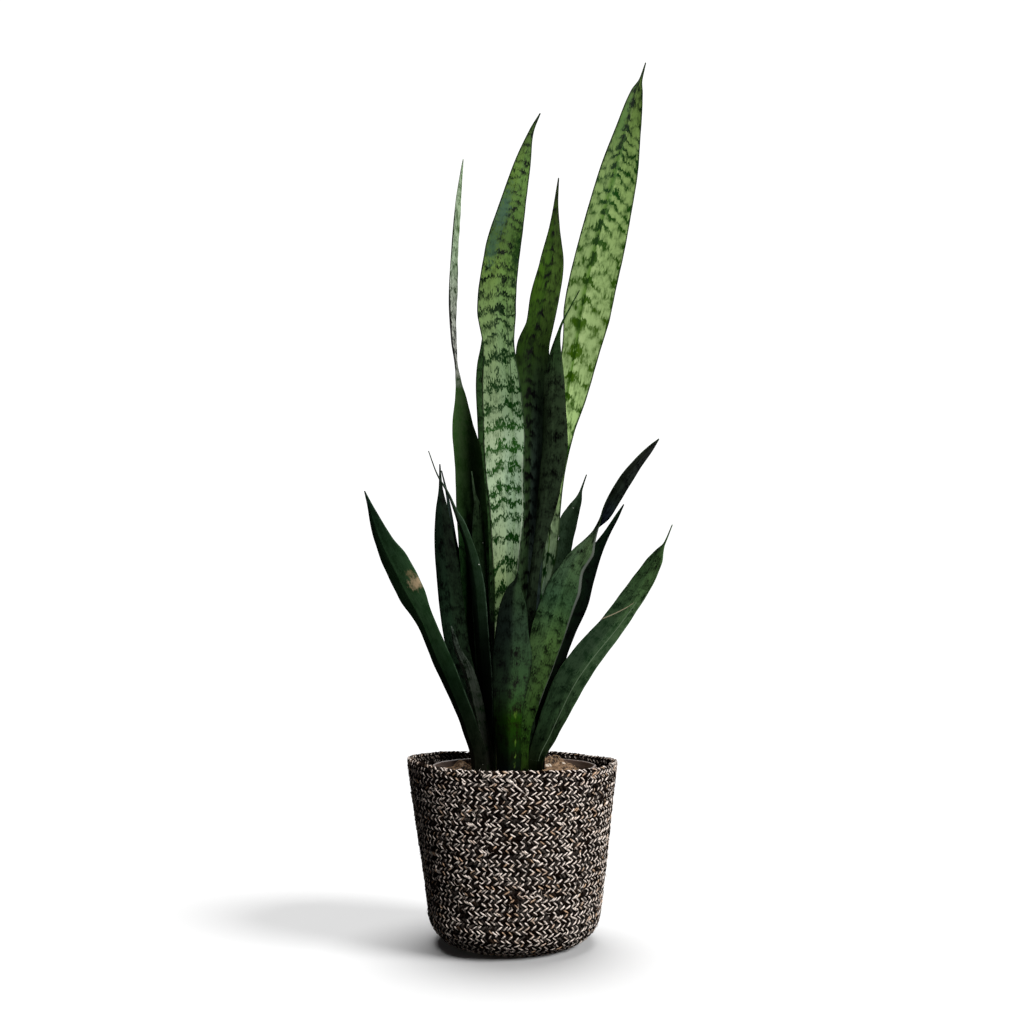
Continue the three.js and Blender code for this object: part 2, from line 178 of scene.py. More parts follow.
def pushed(points: Array, out: Array) -> None:
    """Move points away from the z axis, in place, each by its own value of out."""
    radius = np.maximum(np.hypot(points[..., 0], points[..., 1]), 1e-6)
    points[..., :2] *= (1 + out / radius)[..., None]


def revolved(profile: Array, sides: int) -> Surface:
    """A turned form: p = (r cos a, r sin a, z), with one point where the profile meets the axis.

    Args:
        profile: (P, 2) radii and heights, from the axis at the bottom, outside, to the axis.
        sides: points round the axis.

    Returns:
        The closed surface.
    """
    angle = np.arange(sides) * 2 * math.pi / sides
    ring = profile[1:-1, None, :] * np.ones((1, sides, 1))
    points = np.stack([ring[..., 0] * np.cos(angle), ring[..., 0] * np.sin(angle), ring[..., 1]], -1)
    ends = np.array([[0, 0, profile[0, 1]], [0, 0, profile[-1, 1]]])
    return Surface(np.concatenate([points.reshape(-1, 3), ends]), tube(points.shape[0], sides))


def spindles(
    centre: Array, normal: Array, wide: Array, thick: Array, sides: int, layers: dict[str, Array]
) -> Surface:
    """Closed tapering strands: each section is the ellipse c + wide cos(a) b + thick sin(a) n.

    Here t is the way along the strand, n the normal made square to it, and b = t x n. The first
    and the last station of a strand are single points.

    Args:
        centre: (strands, stations, 3) points along each strand.
        normal: (strands, stations, 3) outward normals.
        wide: (strands, stations) half-widths.
        thick: (strands, stations) half-thicknesses.
        sides: points round a section.
        layers: one value a strand for each name, spread over its points.

    Returns:
        The strands in one surface, with those layers.
    """
    strands, stations = centre.shape[:2]
    along = np.gradient(centre, axis=1)
    along /= np.linalg.norm(along, axis=-1, keepdims=True)
    across = np.cross(along, normal)
    across /= np.linalg.norm(across, axis=-1, keepdims=True)
    up = np.cross(across, along)
    angle = np.arange(sides) * 2 * math.pi / sides
    body = slice(1, stations - 1)
    ring = (
        centre[:, body, None]
        + (wide[:, body, None] * np.cos(angle))[..., None] * across[:, body, None]
        + (thick[:, body, None] * np.sin(angle))[..., None] * up[:, body, None]
    )
    points = np.concatenate([ring.reshape(strands, -1, 3), centre[:, :1], centre[:, -1:]], 1)
    each = points.shape[1]
    quads, foot, head = tube(stations - 2, sides)
    caps = np.concatenate([foot, head])
    shift = (np.arange(strands) * each)[:, None, None]
    spread = {name: np.repeat(values, each, axis=0) for name, values in layers.items()}
    # The sections run the other way round than a tube's rings, so the faces are turned over.
    faces = [(part + shift).reshape(-1, part.shape[1]) for part in (quads[:, ::-1], caps[:, [0, 2, 1]])]
    return Surface(points.reshape(-1, 3), faces, spread)


def placed(piece: bpy.types.Object, material: bpy.types.Material, slot: str, *nodes: str) -> None:
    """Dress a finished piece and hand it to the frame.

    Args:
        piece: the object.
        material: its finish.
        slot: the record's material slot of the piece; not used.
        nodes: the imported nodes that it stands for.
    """
    piece.data.materials.append(material)
    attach(piece, BODY)
    if nodes:
        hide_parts(*nodes)
    LOG.info("%s: %d faces", piece.name, len(piece.data.polygons))


class Sketch:
    """A material in the making, with short calls for the nodes that the finishes share."""

    def __init__(self, name: str) -> None:
        """Start a material of one Principled shader.

        Args:
            name: the material's name.
        """
        self.material = bpy.data.materials.new(name)
        self.material.use_nodes = True
        self.nodes = self.material.node_tree.nodes
        self.links = self.material.node_tree.links
        self.shader = self.nodes["Principled BSDF"]

    def add(self, kind: str, sockets: dict[str | int, object], **settings: str) -> bpy.types.Node:
        """A node with its settings, its sockets set to values or linked to other sockets."""
        node = self.nodes.new("ShaderNode" + kind)
        for name, value in settings.items():
            setattr(node, name, value)
        self.feed(node, sockets)
        return node

    def feed(self, node: bpy.types.Node, sockets: dict[str | int, object]) -> None:
        """Set or link the sockets of a node, named or numbered."""
        for name, value in sockets.items():
            if isinstance(value, Socket):
                self.links.new(value, node.inputs[name])
            elif isinstance(value, tuple) and len(value) == 3 and node.inputs[name].type == "RGBA":
                node.inputs[name].default_value = (*value, 1)
            else:
                node.inputs[name].default_value = value

    def layer(self, name: str, output: str = "Fac") -> Socket:
        """A mesh layer's value, vector or colour."""
        return self.add("Attribute", {}, attribute_name=name).outputs[output]

    def calc(
        self, operation: str, first: Socket | float, second: Socket | float = 0.0,
        third: Socket | float = 0.0,
    ) -> Socket:
        """The result of one arithmetic operation on sockets or numbers."""
        return self.add("Math", {0: first, 1: second, 2: third}, operation=operation).outputs[0]

    def mul(self, first: Socket | float, second: Socket | float) -> Socket:
        """The product of two sockets or numbers."""
        return self.calc("MULTIPLY", first, second)

    def mad(self, first: Socket | float, second: Socket | float, third: Socket | float) -> Socket:
        """The product of two sockets or numbers, and a third added to it."""
        return self.calc("MULTIPLY_ADD", first, second, third)

    def sub(self, first: Socket | float, second: Socket | float) -> Socket:
        """The first socket or number less the second."""
        return self.calc("SUBTRACT", first, second)

    def step(self, value: Socket, low: float, high: float) -> Socket:
        """A smooth step from 0 at low to 1 at high, which falls where low is above high."""
        sockets = {"Value": value, "From Min": low, "From Max": high}
        return self.add("MapRange", sockets, interpolation_type="SMOOTHSTEP").outputs[0]

    def noise(self, vector: Socket, scale: Colour, detail: float = 3, seed: float = 0) -> Socket:
        """Noise from 0 to 1 whose coordinates are scaled apart along each axis."""
        moved = self.add("Mapping", {"Vector": vector, "Scale": scale, "Location": (seed, 1.7 * seed, 0)})
        sockets = {"Vector": moved.outputs[0], "Scale": 1.0, "Detail": detail, "Roughness": 0.55}
        return self.add("TexNoise", sockets).outputs[0]

    def blend(
        self, factor: Socket | float, first: Socket | Colour, second: Socket | Colour, mode: str = "MIX"
    ) -> Socket:
        """Two colours mixed by a factor."""
        node = self.add("Mix", {0: factor, 6: first, 7: second}, data_type="RGBA", blend_type=mode)
        return node.outputs[2]

    def relief(self, height: Socket, depth: float, strength: float = 1.0) -> None:
        """Bump on the shader from a height of 0 to 1, depth metres deep."""
        sockets = {"Height": height, "Distance": depth, "Strength": strength}
        self.links.new(self.add("Bump", sockets).outputs[0], self.shader.inputs["Normal"])

    def place(self) -> Socket:
        """The point in the piece's own frame."""
        return self.add("TexCoord", {}).outputs["Object"]


@dataclass(frozen=True)
class JuteFinish:
    """Raw and black-dyed jute, as spun fibre with flecks along each strand.

    The noises' scales are in waves a metre, and the relief's depth is in metres.
    """

    cream: Colour = tint(255, 240, 228)
    tan: Colour = tint(202, 166, 134)
    black: Colour = tint(16, 7, 2)
    # The core's brown is painted shade between the strands.
    core_shade_brown: Colour = tint(34, 20, 11)
    roughness: float = 0.85
    core_roughness: float = 0.95
    specular: float = 0.03
    streak_scale: float = 820
    patch_scale: float = 160
    core_scale: float = 700
    relief_depth: float = 0.0007
    core_depth: float = 0.0006

    def material(self, name: str) -> bpy.types.Material:
        """The strands' material, which reads the layers tone (0 black to 1 cream) and draw.

        The light is the tone times the wear, which is a fleck of fibre and a share of a broad
        patch. Besides each strand's dye, the tone holds painted shade and painted light by place. The
        layer draw mixes the light strands' cream with tan.

        Args:
            name: the material's name.

        Returns:
            The material.
        """
        sketch = Sketch(name)
        point = sketch.place()
        tone, draw = sketch.layer("tone"), sketch.layer("draw")
        streak = sketch.noise(point, (self.streak_scale,) * 3, 3)
        patch = sketch.noise(point, (self.patch_scale,) * 3, 2, 3)
        fleck = sketch.step(streak, 0.4, 0.56)
        worn = sketch.mad(fleck, 1.4, sketch.mul(patch, 0.7))
        light = sketch.mad(fleck, 0.003, sketch.mul(tone, worn))
        light = sketch.add("Clamp", {0: light}).outputs[0]
        warm = sketch.blend(sketch.step(draw, 0.4, 1.05), self.cream, self.tan)
        colour = sketch.blend(light, self.black, warm)
        sketch.feed(sketch.shader, {
            "Base Color": colour, "Roughness": self.roughness, "Specular IOR Level": self.specular,
        })
        sketch.relief(streak, self.relief_depth, 0.9)
        return sketch.material

    def gap_shade_core(self) -> bpy.types.Material:
        """The sewn core, painted dark as the shade that shows between the strands."""
        sketch = Sketch("jute_gap_shade")
        grain = sketch.noise(sketch.place(), (self.core_scale,) * 3, 3)
        colour = sketch.blend(sketch.step(grain, 0.4, 0.8), self.black, self.core_shade_brown)
        sketch.feed(sketch.shader, {"Base Color": colour, "Roughness": self.core_roughness})
        sketch.relief(grain, self.core_depth)
        return sketch.material


@dataclass
class Basket:
    """A tapered basket of three-strand jute braid, coiled from the centre of its base and sewn.

    The wall's outer line runs out over the base, up round the bottom edge, up the side, over the
    rim and down inside. Rows of braid follow it, each two lines of slanted strands in a V. A light
    strand is thinner and shorter than a dark one, and lies higher. The strands stand on a core
    that is set in by core_inset, and whose dark colour is painted shade between the strands.
    """

    height: float = 172
    rim_radius: float = 105
    foot_radius: float = 85
    corner_radius: float = 33
    wall: float = 6
    rim_round: float = 3
    base_rows: int = 7
    corner_rows: int = 6
    side_rows: int = 17
    inner_rows: int = 9
    inner_reach: float = 74
    inner_lean: float = -0.144
    strand_pitch: float = 3.1
    strand_wide: float = 1.35
    strand_thick: float = 0.95
    slant: float = 5.2
    slant_spread: tuple[float, float] = (0.6, 1.4)
    size_spread: tuple[float, float] = (0.8, 1.2)
    row_jitter: float = 0.12
    arc_jitter: float = 0.42
    lift_jitter: float = 0.22
    swapped: float = 0.06
    light_cross: tuple[float, float] = (0.0, 0.5)
    dark_cross: tuple[float, float] = (-0.1, 0.66)
    light_lift: float = 0.35
    light_tone: tuple[float, float] = (0.55, 2.8)
    dark_tone: tuple[float, float] = (0.011, 0.02)
    light_size: float = 0.53
    dark_size: float = 0.9
    sink: float = -1.6
    bow: float = 0.9
    core_inset: float = -2.6
    mid_radius: float = 95
    straw_radius: float = 98
    seed: int = 11

    def outline(self) -> tuple[Array, Array, Array]:
        """The wall's line, its outward normals and the distance along it.

        Returns:
            (P, 2) radii and heights about every 0.5 mm from the centre of the base to inside the
            rim, the normals there, and (P,) distances from the centre.
        """
        arc = np.linspace(0, math.pi / 2, 105)[:, None]
        corner = np.array([self.foot_radius - self.corner_radius, self.corner_radius])
        bend = corner + self.corner_radius * np.hstack([np.sin(arc), -np.cos(arc)])
        over = np.linspace(0, math.pi, 21)[:, None]
        crest = np.array([self.rim_radius - self.rim_round, self.height - self.rim_round])
        rim = crest + self.rim_round * np.hstack([np.cos(over), np.sin(over)])
        down = np.array([self.inner_lean, -1])
        inside = rim[-1] + np.linspace(0, 1, 150)[:, None] * down * self.inner_reach
        side = bend[-1] + np.linspace(0, 1, 280)[:, None] * (rim[0] - bend[-1])
        base = np.linspace(0, 1, 105)[:, None] * bend[0]
        line = np.concatenate([base[:-1], bend[:-1], side[:-1], rim[:-1], inside])
        way = np.gradient(line, axis=0)
        way /= np.linalg.norm(way, axis=1, keepdims=True)
        run = np.concatenate([[0], np.cumsum(np.linalg.norm(np.diff(line, axis=0), axis=1))])
        return line, np.stack([way[:, 1], -way[:, 0]], -1), run

    def rows(self) -> list[tuple[float, float, str]]:
        """Start and width of each braid row along the wall's line, with the zone that it is in."""
        corner = self.corner_radius * math.pi / 2
        flat = self.foot_radius - self.corner_radius
        rise = self.height - self.rim_round - self.corner_radius
        side = math.hypot(rise, self.rim_radius - self.foot_radius)
        over = math.pi * self.rim_round
        parts = [
            ("foot", flat, self.base_rows), ("foot", corner, self.corner_rows),
            ("side", side, self.side_rows), ("rim", over, 1), ("inside", self.inner_reach, self.inner_rows),
        ]
        rows, start = [], 0.0
        for zone, length, count in parts:
            rows += [(start + length * i / count, length / count, zone) for i in range(count)]
            start += length
        return rows

    def slouched(self, points: Array) -> Array:
        """The soft wall's unevenness.

        The rim waves up and down by share ** 4 of its lift, with share the height over the full
        height, and it stands high at the back left (2.4 rad) and the left (3.2 rad) and low at
        the back right (0.6 rad). The side swells in and out, and the foot sits 2.2 mm to the right.
        """
        angle = np.arctan2(points[..., 1], points[..., 0])
        share = np.clip(points[..., 2] / self.height, 0, 1)
        local = 2.1 * np.exp(-(((angle - 2.4) / 0.6) ** 2)) - 1.3 * np.exp(-(((angle - 0.6) / 0.5) ** 2))
        local += 3.3 * np.exp((np.cos(angle - 3.2) - 1) / 0.1)
        lift = (0.9 * np.sin(2 * angle + 0.6) + 0.6 * np.sin(5 * angle + 2.1) + local) * share**4
        swell = (0.7 * np.sin(3 * angle + 1.0) + 0.4 * np.sin(7 * angle)) * share * (1 - 0.4 * share)
        out = points.copy()
        pushed(out, swell)
        out[..., 0] += 2.2 * (1 - ease(share, 0.3, 0.9))
        out[..., 2] = np.maximum(out[..., 2] + lift, 0)
        return out

    def at(self, arc: Array, angle: Array, lift: Array) -> tuple[Array, Array]:
        """Points over the wall and their normals.

        Args:
            arc: distance along the wall's line.
            angle: turn about the basket's axis.
            lift: height over the line, along its normal.

        Returns:
            The points and the normals, each (..., 3).
        """
        line, normal, run = self.outline()
        radius, height = (np.interp(arc, run, line[:, i]) for i in (0, 1))
        out, up = (np.interp(arc, run, normal[:, i]) for i in (0, 1))
        radius = np.maximum(radius + lift * out, 0.3)
        turn = [np.cos(angle), np.sin(angle)]
        points = np.stack([radius * turn[0], radius * turn[1], height + lift * up], -1)
        return points, np.stack([out * turn[0], out * turn[1], up], -1)

    def braid(
        self, zones: tuple[str, ...], first: float = 0, last: float = 1, fine: tuple[int, int] = (6, 6)
    ) -> Surface:
        """The strands of the rows in some zones.

        A strand starts under its row's middle, at q = 0, and ends in the seam, at q = 1. It
        crosses the row by half its width and moves on by the slant; its half-width is
        wide sin(pi q) ** 0.35, and it bows outwards by sin(pi q). Light and dark strands take
        turns, but for the few that are swapped.

        Args:
            zones: the zones of the rows.
            first, last: the share of those rows to start from, and to stop at.
            fine: stations along a strand and points round it.

        Returns:
            The strands in one surface, with the layers tone and draw.
        """
        rows = [row for row in self.rows() if row[2] in zones]
        rows = rows[round(first * len(rows)): round(last * len(rows))]
        line, _, run = self.outline()
        draw = np.random.default_rng(self.seed + round(rows[0][0]))
        share = np.linspace(0, 1, fine[0])
        parts: dict[str, list[Array]] = {k: [] for k in ("arc", "angle", "size", "tone", "draw", "lift")}
        phase = 0.0
        for start, width, zone in rows:
            radius = max(float(np.interp(start + width / 2, run, line[:, 0])), 3)
            count = max(round(2 * math.pi * radius / self.strand_pitch / 2) * 2, 6)
            phase += draw.normal(0, self.row_jitter)
            for half in (1, -1):
                steady = np.arange(count) + phase + (0.5 if half < 0 else 0)
                angle = (steady + draw.normal(0, self.row_jitter, count)) * 2 * math.pi / count
                light = (np.arange(count) + (half < 0)) % 2 == 0
                light ^= draw.uniform(size=count) < self.swapped
                cross = zip(self.light_cross, self.dark_cross)
                inner, outer = (np.where(light, pale, dark)[:, None] for pale, dark in cross)
                reach = width * (inner + outer * share) * half
                slant = self.slant * draw.uniform(*self.slant_spread, (count, 1)) * (share - 0.1) / radius
                tone = np.where(
                    light, draw.uniform(*self.light_tone, count), draw.normal(*self.dark_tone, count)
                )
                shift = draw.normal(0, self.arc_jitter, (count, 1))
                parts["arc"].append(start + width / 2 + reach + shift)
                parts["angle"].append(angle[:, None] + slant)
                size = np.where(light, self.light_size, self.dark_size)
                parts["size"].append(draw.uniform(*self.size_spread, count) * size)
                # The tones take painted shade and painted light by place.
                parts["tone"].append(self.with_painted_shading(tone, zone, start, angle))
                parts["draw"].append(draw.uniform(0, 1, count) ** 2)
                lift = draw.normal(0, self.lift_jitter, (count, 1))
                parts["lift"].append(lift + np.where(light, self.light_lift, 0)[:, None])
        arc, angle, size, tone, hue, lift = (np.concatenate(parts[k]) for k in parts)
        bow = np.sin(math.pi * np.clip(share * 0.94 + 0.03, 0, 1))
        points, normal = self.at(arc, angle, self.sink + self.bow * bow + lift)
        wide = self.strand_wide * size[:, None] * bow**0.35
        thick = self.strand_thick * size[:, None] * bow**0.35
        strands = spindles(self.slouched(points), normal, wide, thick, fine[1], {"tone": tone, "draw": hue})
        strands.points[:, 2] = np.maximum(strands.points[:, 2], 0)
        return strands

    def with_painted_shading(self, tone: Array, zone: str, start: float, angle: Array) -> Array:
        """A row's tones, clipped to 0..1, with painted shade and painted light by place.

        The foot is lighter, from 2.4 times at the base's centre to 1 time at the side, as painted
        light of the floor's bounce. The inside is at 0.3 as painted shade, the rim darker at the back and
        the left as painted shade, and every row a little darker at the right as painted shade against
        the key light there.

        Args:
            tone: the strands' drawn tones.
            zone: the row's zone.
            start: the row's distance along the wall's line.
            angle: the strands' turns about the axis.

        Returns:
            The tones.
        """
        back, left = ease(np.sin(angle), 0.1, 0.6), ease(-np.cos(angle), 0.6, 0.95)
        # Painted light on the foot, for the floor's bounce.
        under = 2.4 - 1.4 * start / 104
        tone = np.clip(tone * (under if zone == "foot" else 1), 0, 1)
        # Painted shade inside the basket and on the rim at the back and the left.
        tone *= {"inside": 0.3, "rim": 1 - 0.5 * back - 0.55 * left * (1 - back)}.get(zone, 1)
        # Painted shade at the right of every row.
        return tone * (1 - 0.16 * ease(np.cos(angle), 0.55, 0.95))

    def core(self) -> Surface:
        """The closed sewn core: the wall's line set in under the strands, and a plain inner face."""
        line, normal, run = self.outline()
        seams = np.array([row[0] for row in self.rows()])
        pitch = np.array([row[1] for row in self.rows()])
        row = np.clip(np.searchsorted(seams, run, side="right") - 1, 0, len(seams) - 1)
        crest = np.sin(math.pi * np.clip((run - seams[row]) / pitch[row], 0, 1))
        shell = (line + normal * (self.core_inset + self.bow * crest)[:, None])[2::4]
        floor = self.wall + self.core_inset
        inner = self.rim_radius - self.wall + self.inner_lean * self.inner_reach
        foot = self.foot_radius - self.wall
        down = np.array([
            [inner, shell[-1, 1] - 4], [foot + 1, self.corner_radius], [foot - 8, 14], [foot - 24, floor],
        ])
        profile = np.concatenate([[[0, 2.4]], shell, down, [[0, floor]]])
        surface = revolved(profile, 128)
        surface.points = self.slouched(surface.points)
        return surface

    def fibres(self, count: int) -> Surface:
        """Loose ends of fibre: count thin arcs that leave the wall by up to 2.3 mm and lie back on it."""
        draw = np.random.default_rng(self.seed + 5)
        flat = self.foot_radius - self.corner_radius
        share = np.linspace(0, 1, 5)
        arc = draw.uniform(flat + 8, flat + 192, (count, 1))
        angle = draw.uniform(0, 2 * math.pi, (count, 1))
        length = draw.uniform(3, 9, (count, 1))
        lean = draw.normal(0.7, 0.5, (count, 1)) * np.where(draw.uniform(size=(count, 1)) < 0.5, 1, -1)
        curl = draw.normal(0, 0.5, (count, 1))
        rise = draw.uniform(0.2, 2.3, (count, 1))
        rise = rise * np.sin(math.pi * share * draw.uniform(0.5, 1, (count, 1)))
        along, heading = length * share, lean + curl * share
        points, normal = self.at(
            arc + along * np.sin(heading), angle + along * np.cos(heading) / self.mid_radius, -0.6 + rise
        )
        wide = draw.uniform(0.09, 0.19, (count, 1)) * np.array([1, 1, 0.9, 0.7, 0.4])
        layers = {"tone": draw.uniform(0.55, 1, count), "draw": draw.uniform(0, 0.8, count)}
        return spindles(self.slouched(points), normal, wide, wide, 4, layers)

    def straws(self) -> Surface:
        """Flat ends of unspun straw and two knots, lying slanted over the rows.

        Each entry is angle from the front in degrees, height, length, half-width and slope in
        degrees below level.
        """
        seen = [(-1, 163, 9, 1.6, 35), (3, 157, 17, 0.8, 42), (-42, 150, 12, 0.7, 38), (4, 67, 10, 0.9, 36)]
        draw = np.random.default_rng(self.seed + 9)
        spans = ((-180, 180), (30, 165), (4, 8), (0.4, 0.9))
        others = [(*(draw.uniform(*span) for span in spans), draw.normal(0, 45)) for _ in range(34)]
        turn, height, length, wide, slope = np.array(seen + others).T[:, :, None]
        share = np.linspace(-0.5, 0.5, 6)
        flat = self.foot_radius - self.corner_radius
        arc = flat + self.corner_radius * math.pi / 2 + (height - self.corner_radius) * 1.01
        tilt = np.radians(slope)
        angle = np.radians(turn - 90) + share * length * np.cos(tilt) / self.straw_radius
        lift = -0.2 + 0.9 * np.cos(math.pi * share)
        points, normal = self.at(arc - share * length * np.sin(tilt), angle, lift)
        taper = np.sqrt(np.clip(np.cos(math.pi * share * 0.96), 0, 1))
        count = len(turn)
        layers = {"tone": draw.uniform(0.8, 1, count), "draw": draw.uniform(0, 0.5, count)}
        return spindles(self.slouched(points), normal, wide * taper, 0.45 * wide * taper, 6, layers)

    def build(self) -> None:
        """Make and dress the core, the braid in four stretches, and the loose ends."""
        finish = JuteFinish()
        jute = finish.material("braided_jute")
        loose = self.fibres(900).joined(self.straws())
        loose.points[:, 2] = np.maximum(loose.points[:, 2], 0)
        for name, surface, material in (
            # The core's dark finish is painted shade between the strands.
            ("core", self.core(), finish.gap_shade_core()),
            ("braid_upper", self.braid(("side",), 0.5, 1), jute),
            ("braid_lower", self.braid(("side",), 0, 0.5), jute),
            ("braid_foot", self.braid(("foot",), fine=(6, 5)), jute),
            ("braid_inside", self.braid(("rim",)).joined(self.braid(("inside",), fine=(5, 5))), jute),
            ("loose_fibres", loose, jute),
        ):
            placed(surface.made("basket_" + name), material, "braided_jute", "basket")


@dataclass(frozen=True)
class PotFinish:
    """Thin taupe plastic with fine scuffs and dried soil along its inner edge."""

    plastic: Colour = tint(104, 88, 79)
    soiled: Colour = tint(62, 48, 38)
    scuffed: Colour = tint(150, 132, 118)
    soil_line: tuple[float, float] = (0.172, 0.160)
    roughness: float = 0.48

    def material(self) -> bpy.types.Material:
        """Taupe, scratched along its turn and soiled below the rim."""
        sketch = Sketch("pot_plastic")
        point = sketch.place()
        scuff = sketch.noise(point, (60, 60, 900), 4)
        blot = sketch.noise(point, (90, 90, 90), 4, 2)
        height = sketch.add("SeparateXYZ", {0: point}).outputs["Z"]
        low = sketch.step(sketch.mad(blot, 0.012, height), *self.soil_line)
        colour = sketch.blend(sketch.mul(low, 0.85), self.plastic, self.soiled)
        colour = sketch.blend(sketch.step(scuff, 0.55, 0.8), colour, self.scuffed)
        rough = sketch.mad(blot, 0.3, self.roughness - 0.12)
        sketch.feed(sketch.shader, {"Base Color": colour, "Roughness": rough})
        sketch.relief(scuff, 0.0002, 0.5)
        return sketch.material


@dataclass(frozen=True)
class SoilFinish:
    """Moist peat and coir: dark crumb, rusty fibre and pale perlite."""

    peat: Colour = tint(50, 37, 26)
    coir: Colour = tint(172, 140, 108)
    perlite: Colour = tint(226, 214, 198)

    def material(self) -> bpy.types.Material:
        """Soil whose layer tone runs from peat at 0, through coir at 0.5, to perlite at 1."""
        sketch = Sketch("potting_soil")
        point = sketch.place()
        tone = sketch.layer("tone")
        grain = sketch.noise(point, (900, 900, 900), 5)
        patch = sketch.noise(point, (70, 70, 70), 3, 4)
        dry = sketch.mad(grain, 0.5, sketch.mad(patch, 0.5, -0.42))
        light = sketch.mad(sketch.add("Clamp", {0: dry}).outputs[0], 0.5, tone)
        brown = sketch.blend(sketch.step(light, 0.0, 0.62), self.peat, self.coir)
        colour = sketch.blend(sketch.step(light, 0.7, 0.95), brown, self.perlite)
        sketch.feed(sketch.shader, {"Base Color": colour, "Roughness": 0.92})
        sketch.relief(grain, 0.0012, 0.9)
        return sketch.material


@dataclass
class Planting:
    """The nursery pot a little off the basket's axis, and the soil that fills it.

    A mound gives its rise, the x and y of its middle and its spread. The largest perlite grains
    lie at the given x and y.
    """

    offset: float = 2
    soil_edge: float = 76.7
    soil_level: float = 158
    mounds: tuple[tuple[float, float, float, float], ...] = ((13, 41, 49, 28), (8, -52, 12, 26))
    perlite: tuple[tuple[float, float], ...] = (
        (38, 27), (53, 30), (36, 24), (36, -66), (-36, -62), (12, -70),
    )
    seed: int = 23

    def pot(self) -> Surface:
        """The pot: a turned profile with a rolled rim, dented softly by noise along its turn."""
        roll = np.linspace(0, math.pi, 13)
        rim = np.stack([80.6 + 1.4 * np.cos(roll), 165.6 + 1.4 * np.sin(roll)], -1)
        side = np.linspace(0, 1, 40)[:, None]
        outer = np.array([54, 12.3]) + side * np.array([25, 145.7])
        inner = np.array([77.5, 158]) + side * np.array([-25, -145.7])
        base, floor = [[0, 6.4], [47, 6.4], [50.5, 7.2], [53, 9.4]], [[51.2, 9.8], [47.6, 8], [0, 8]]
        collar = [[80.4, 158.7], [81.6, 159.6], [82, 160.8], [82, 163.5]]
        profile = np.concatenate([base, outer, collar, rim, [[78.9, 163.2]], inner, floor])
        surface = revolved(profile, 180)
        points = surface.points
        upper = ease(points[:, 2], 120, 166)
        dent = 0.35 * ripple(points * [1, 1, 0.3], 14, 26, self.seed) * upper
        pushed(points, dent)
        points[:, 0] += self.offset
        return surface

    def level(self, x: Array, y: Array) -> Array:
        """Height of the soil: its level, mounds at the back right and the left, and crumbly noise.

        A mound is rise exp(-d ** 2 / spread ** 2), with d the distance from its middle, and it fades
        out at the soil's edge.
        """
        radius = np.hypot(x, y)
        inside = np.clip(1 - (radius / self.soil_edge) ** 8, 0, 1)
        bump = sum(
            rise * np.exp(-((x - east) ** 2 + (y - north) ** 2) / spread**2)
            for rise, east, north, spread in self.mounds
        )
        place = np.stack([x, y], -1)
        rough = 1.5 * ripple(place, 24, 17, self.seed) + 0.9 * ripple(place, 30, 6, self.seed + 1)
        rough += 0.5 * ripple(place, 40, 2.6, self.seed + 2)
        return self.soil_level + bump * inside + rough * np.clip(inside + 0.25, 0, 1) - 0.8

    def soil(self) -> Surface:
        """The body of soil: a turned block whose top rings follow the level's formula."""
        rings = np.linspace(self.soil_edge, 0, 84)[:, None]
        top = np.hstack([rings, np.full_like(rings, self.soil_level)])
        profile = np.concatenate([[[0, 8.3], [47, 8.3], [51.5, 14]], top])
        surface = revolved(profile, 240)
        points = surface.points
        crown = points[:, 2] > self.soil_level - 1
        points[crown, 2] = self.level(points[crown, 0], points[crown, 1])
        points[:, 0] += self.offset
        tone = 0.08 + 0.3 * ripple(points, 20, 8, self.seed + 3)
        surface.layers["tone"] = np.clip(tone, 0, 0.45)
        return surface

    def lumps(
        self, count: int, size: tuple[float, float], flat: float, tone: tuple[float, float], seed: int,
        spots: tuple[tuple[float, float], ...] = (),
    ) -> Surface:
        """Irregular grains half sunk in the soil: icosahedra with shaken corners.

        Args:
            count: how many grains.
            size: the range of their radii.
            flat: height over width.
            tone: the range of their tone.
            seed: the seed of the draws.
            spots: places of the first grains, as x and y, which are drawn large.

        Returns:
            The grains in one surface.
        """
        draw = np.random.default_rng(seed)
        gold = (1 + math.sqrt(5)) / 2
        corners = np.array([
            (-1, gold, 0), (1, gold, 0), (-1, -gold, 0), (1, -gold, 0), (0, -1, gold), (0, 1, gold),
            (0, -1, -gold), (0, 1, -gold), (gold, 0, -1), (gold, 0, 1), (-gold, 0, -1), (-gold, 0, 1),
        ])
        faces = np.array([
            (0, 11, 5), (0, 5, 1), (0, 1, 7), (0, 7, 10), (0, 10, 11), (1, 5, 9), (5, 11, 4),
            (11, 10, 2), (10, 7, 6), (7, 1, 8), (3, 9, 4), (3, 4, 2), (3, 2, 6), (3, 6, 8),
            (3, 8, 9), (4, 9, 5), (2, 4, 11), (6, 2, 10), (8, 6, 7), (9, 8, 1),
        ])
        corners = corners / np.linalg.norm(corners[0])
        radius = (self.soil_edge - 2) * np.sqrt(draw.uniform(0, 1, count))
        angle = draw.uniform(0, 2 * math.pi, count)
        x, y = radius * np.cos(angle), radius * np.sin(angle)
        scale = draw.uniform(*size, count) * draw.uniform(0.6, 1, count)
        for i, spot in enumerate(spots):
            x[i], y[i], scale[i] = spot[0] - self.offset, spot[1], size[1]
        turn = np.linalg.qr(draw.normal(size=(count, 3, 3)))[0]
        turn *= np.sign(np.linalg.det(turn))[:, None, None]
        shape = corners * draw.uniform(0.7, 1.25, (count, 12, 1)) * draw.uniform(0.6, 1.3, (count, 1, 3))
        shape = np.einsum("nij,nkj->nki", turn, shape) * scale[:, None, None] * np.array([1, 1, flat])
        centre = np.stack([x + self.offset, y, self.level(x, y) + 0.25 * scale * flat], -1)
        points = (centre[:, None] + shape).reshape(-1, 3)
        index = (faces[None] + 12 * np.arange(count)[:, None, None]).reshape(-1, 3)
        return Surface(points, [index], {"tone": np.repeat(draw.uniform(*tone, count), 12)})

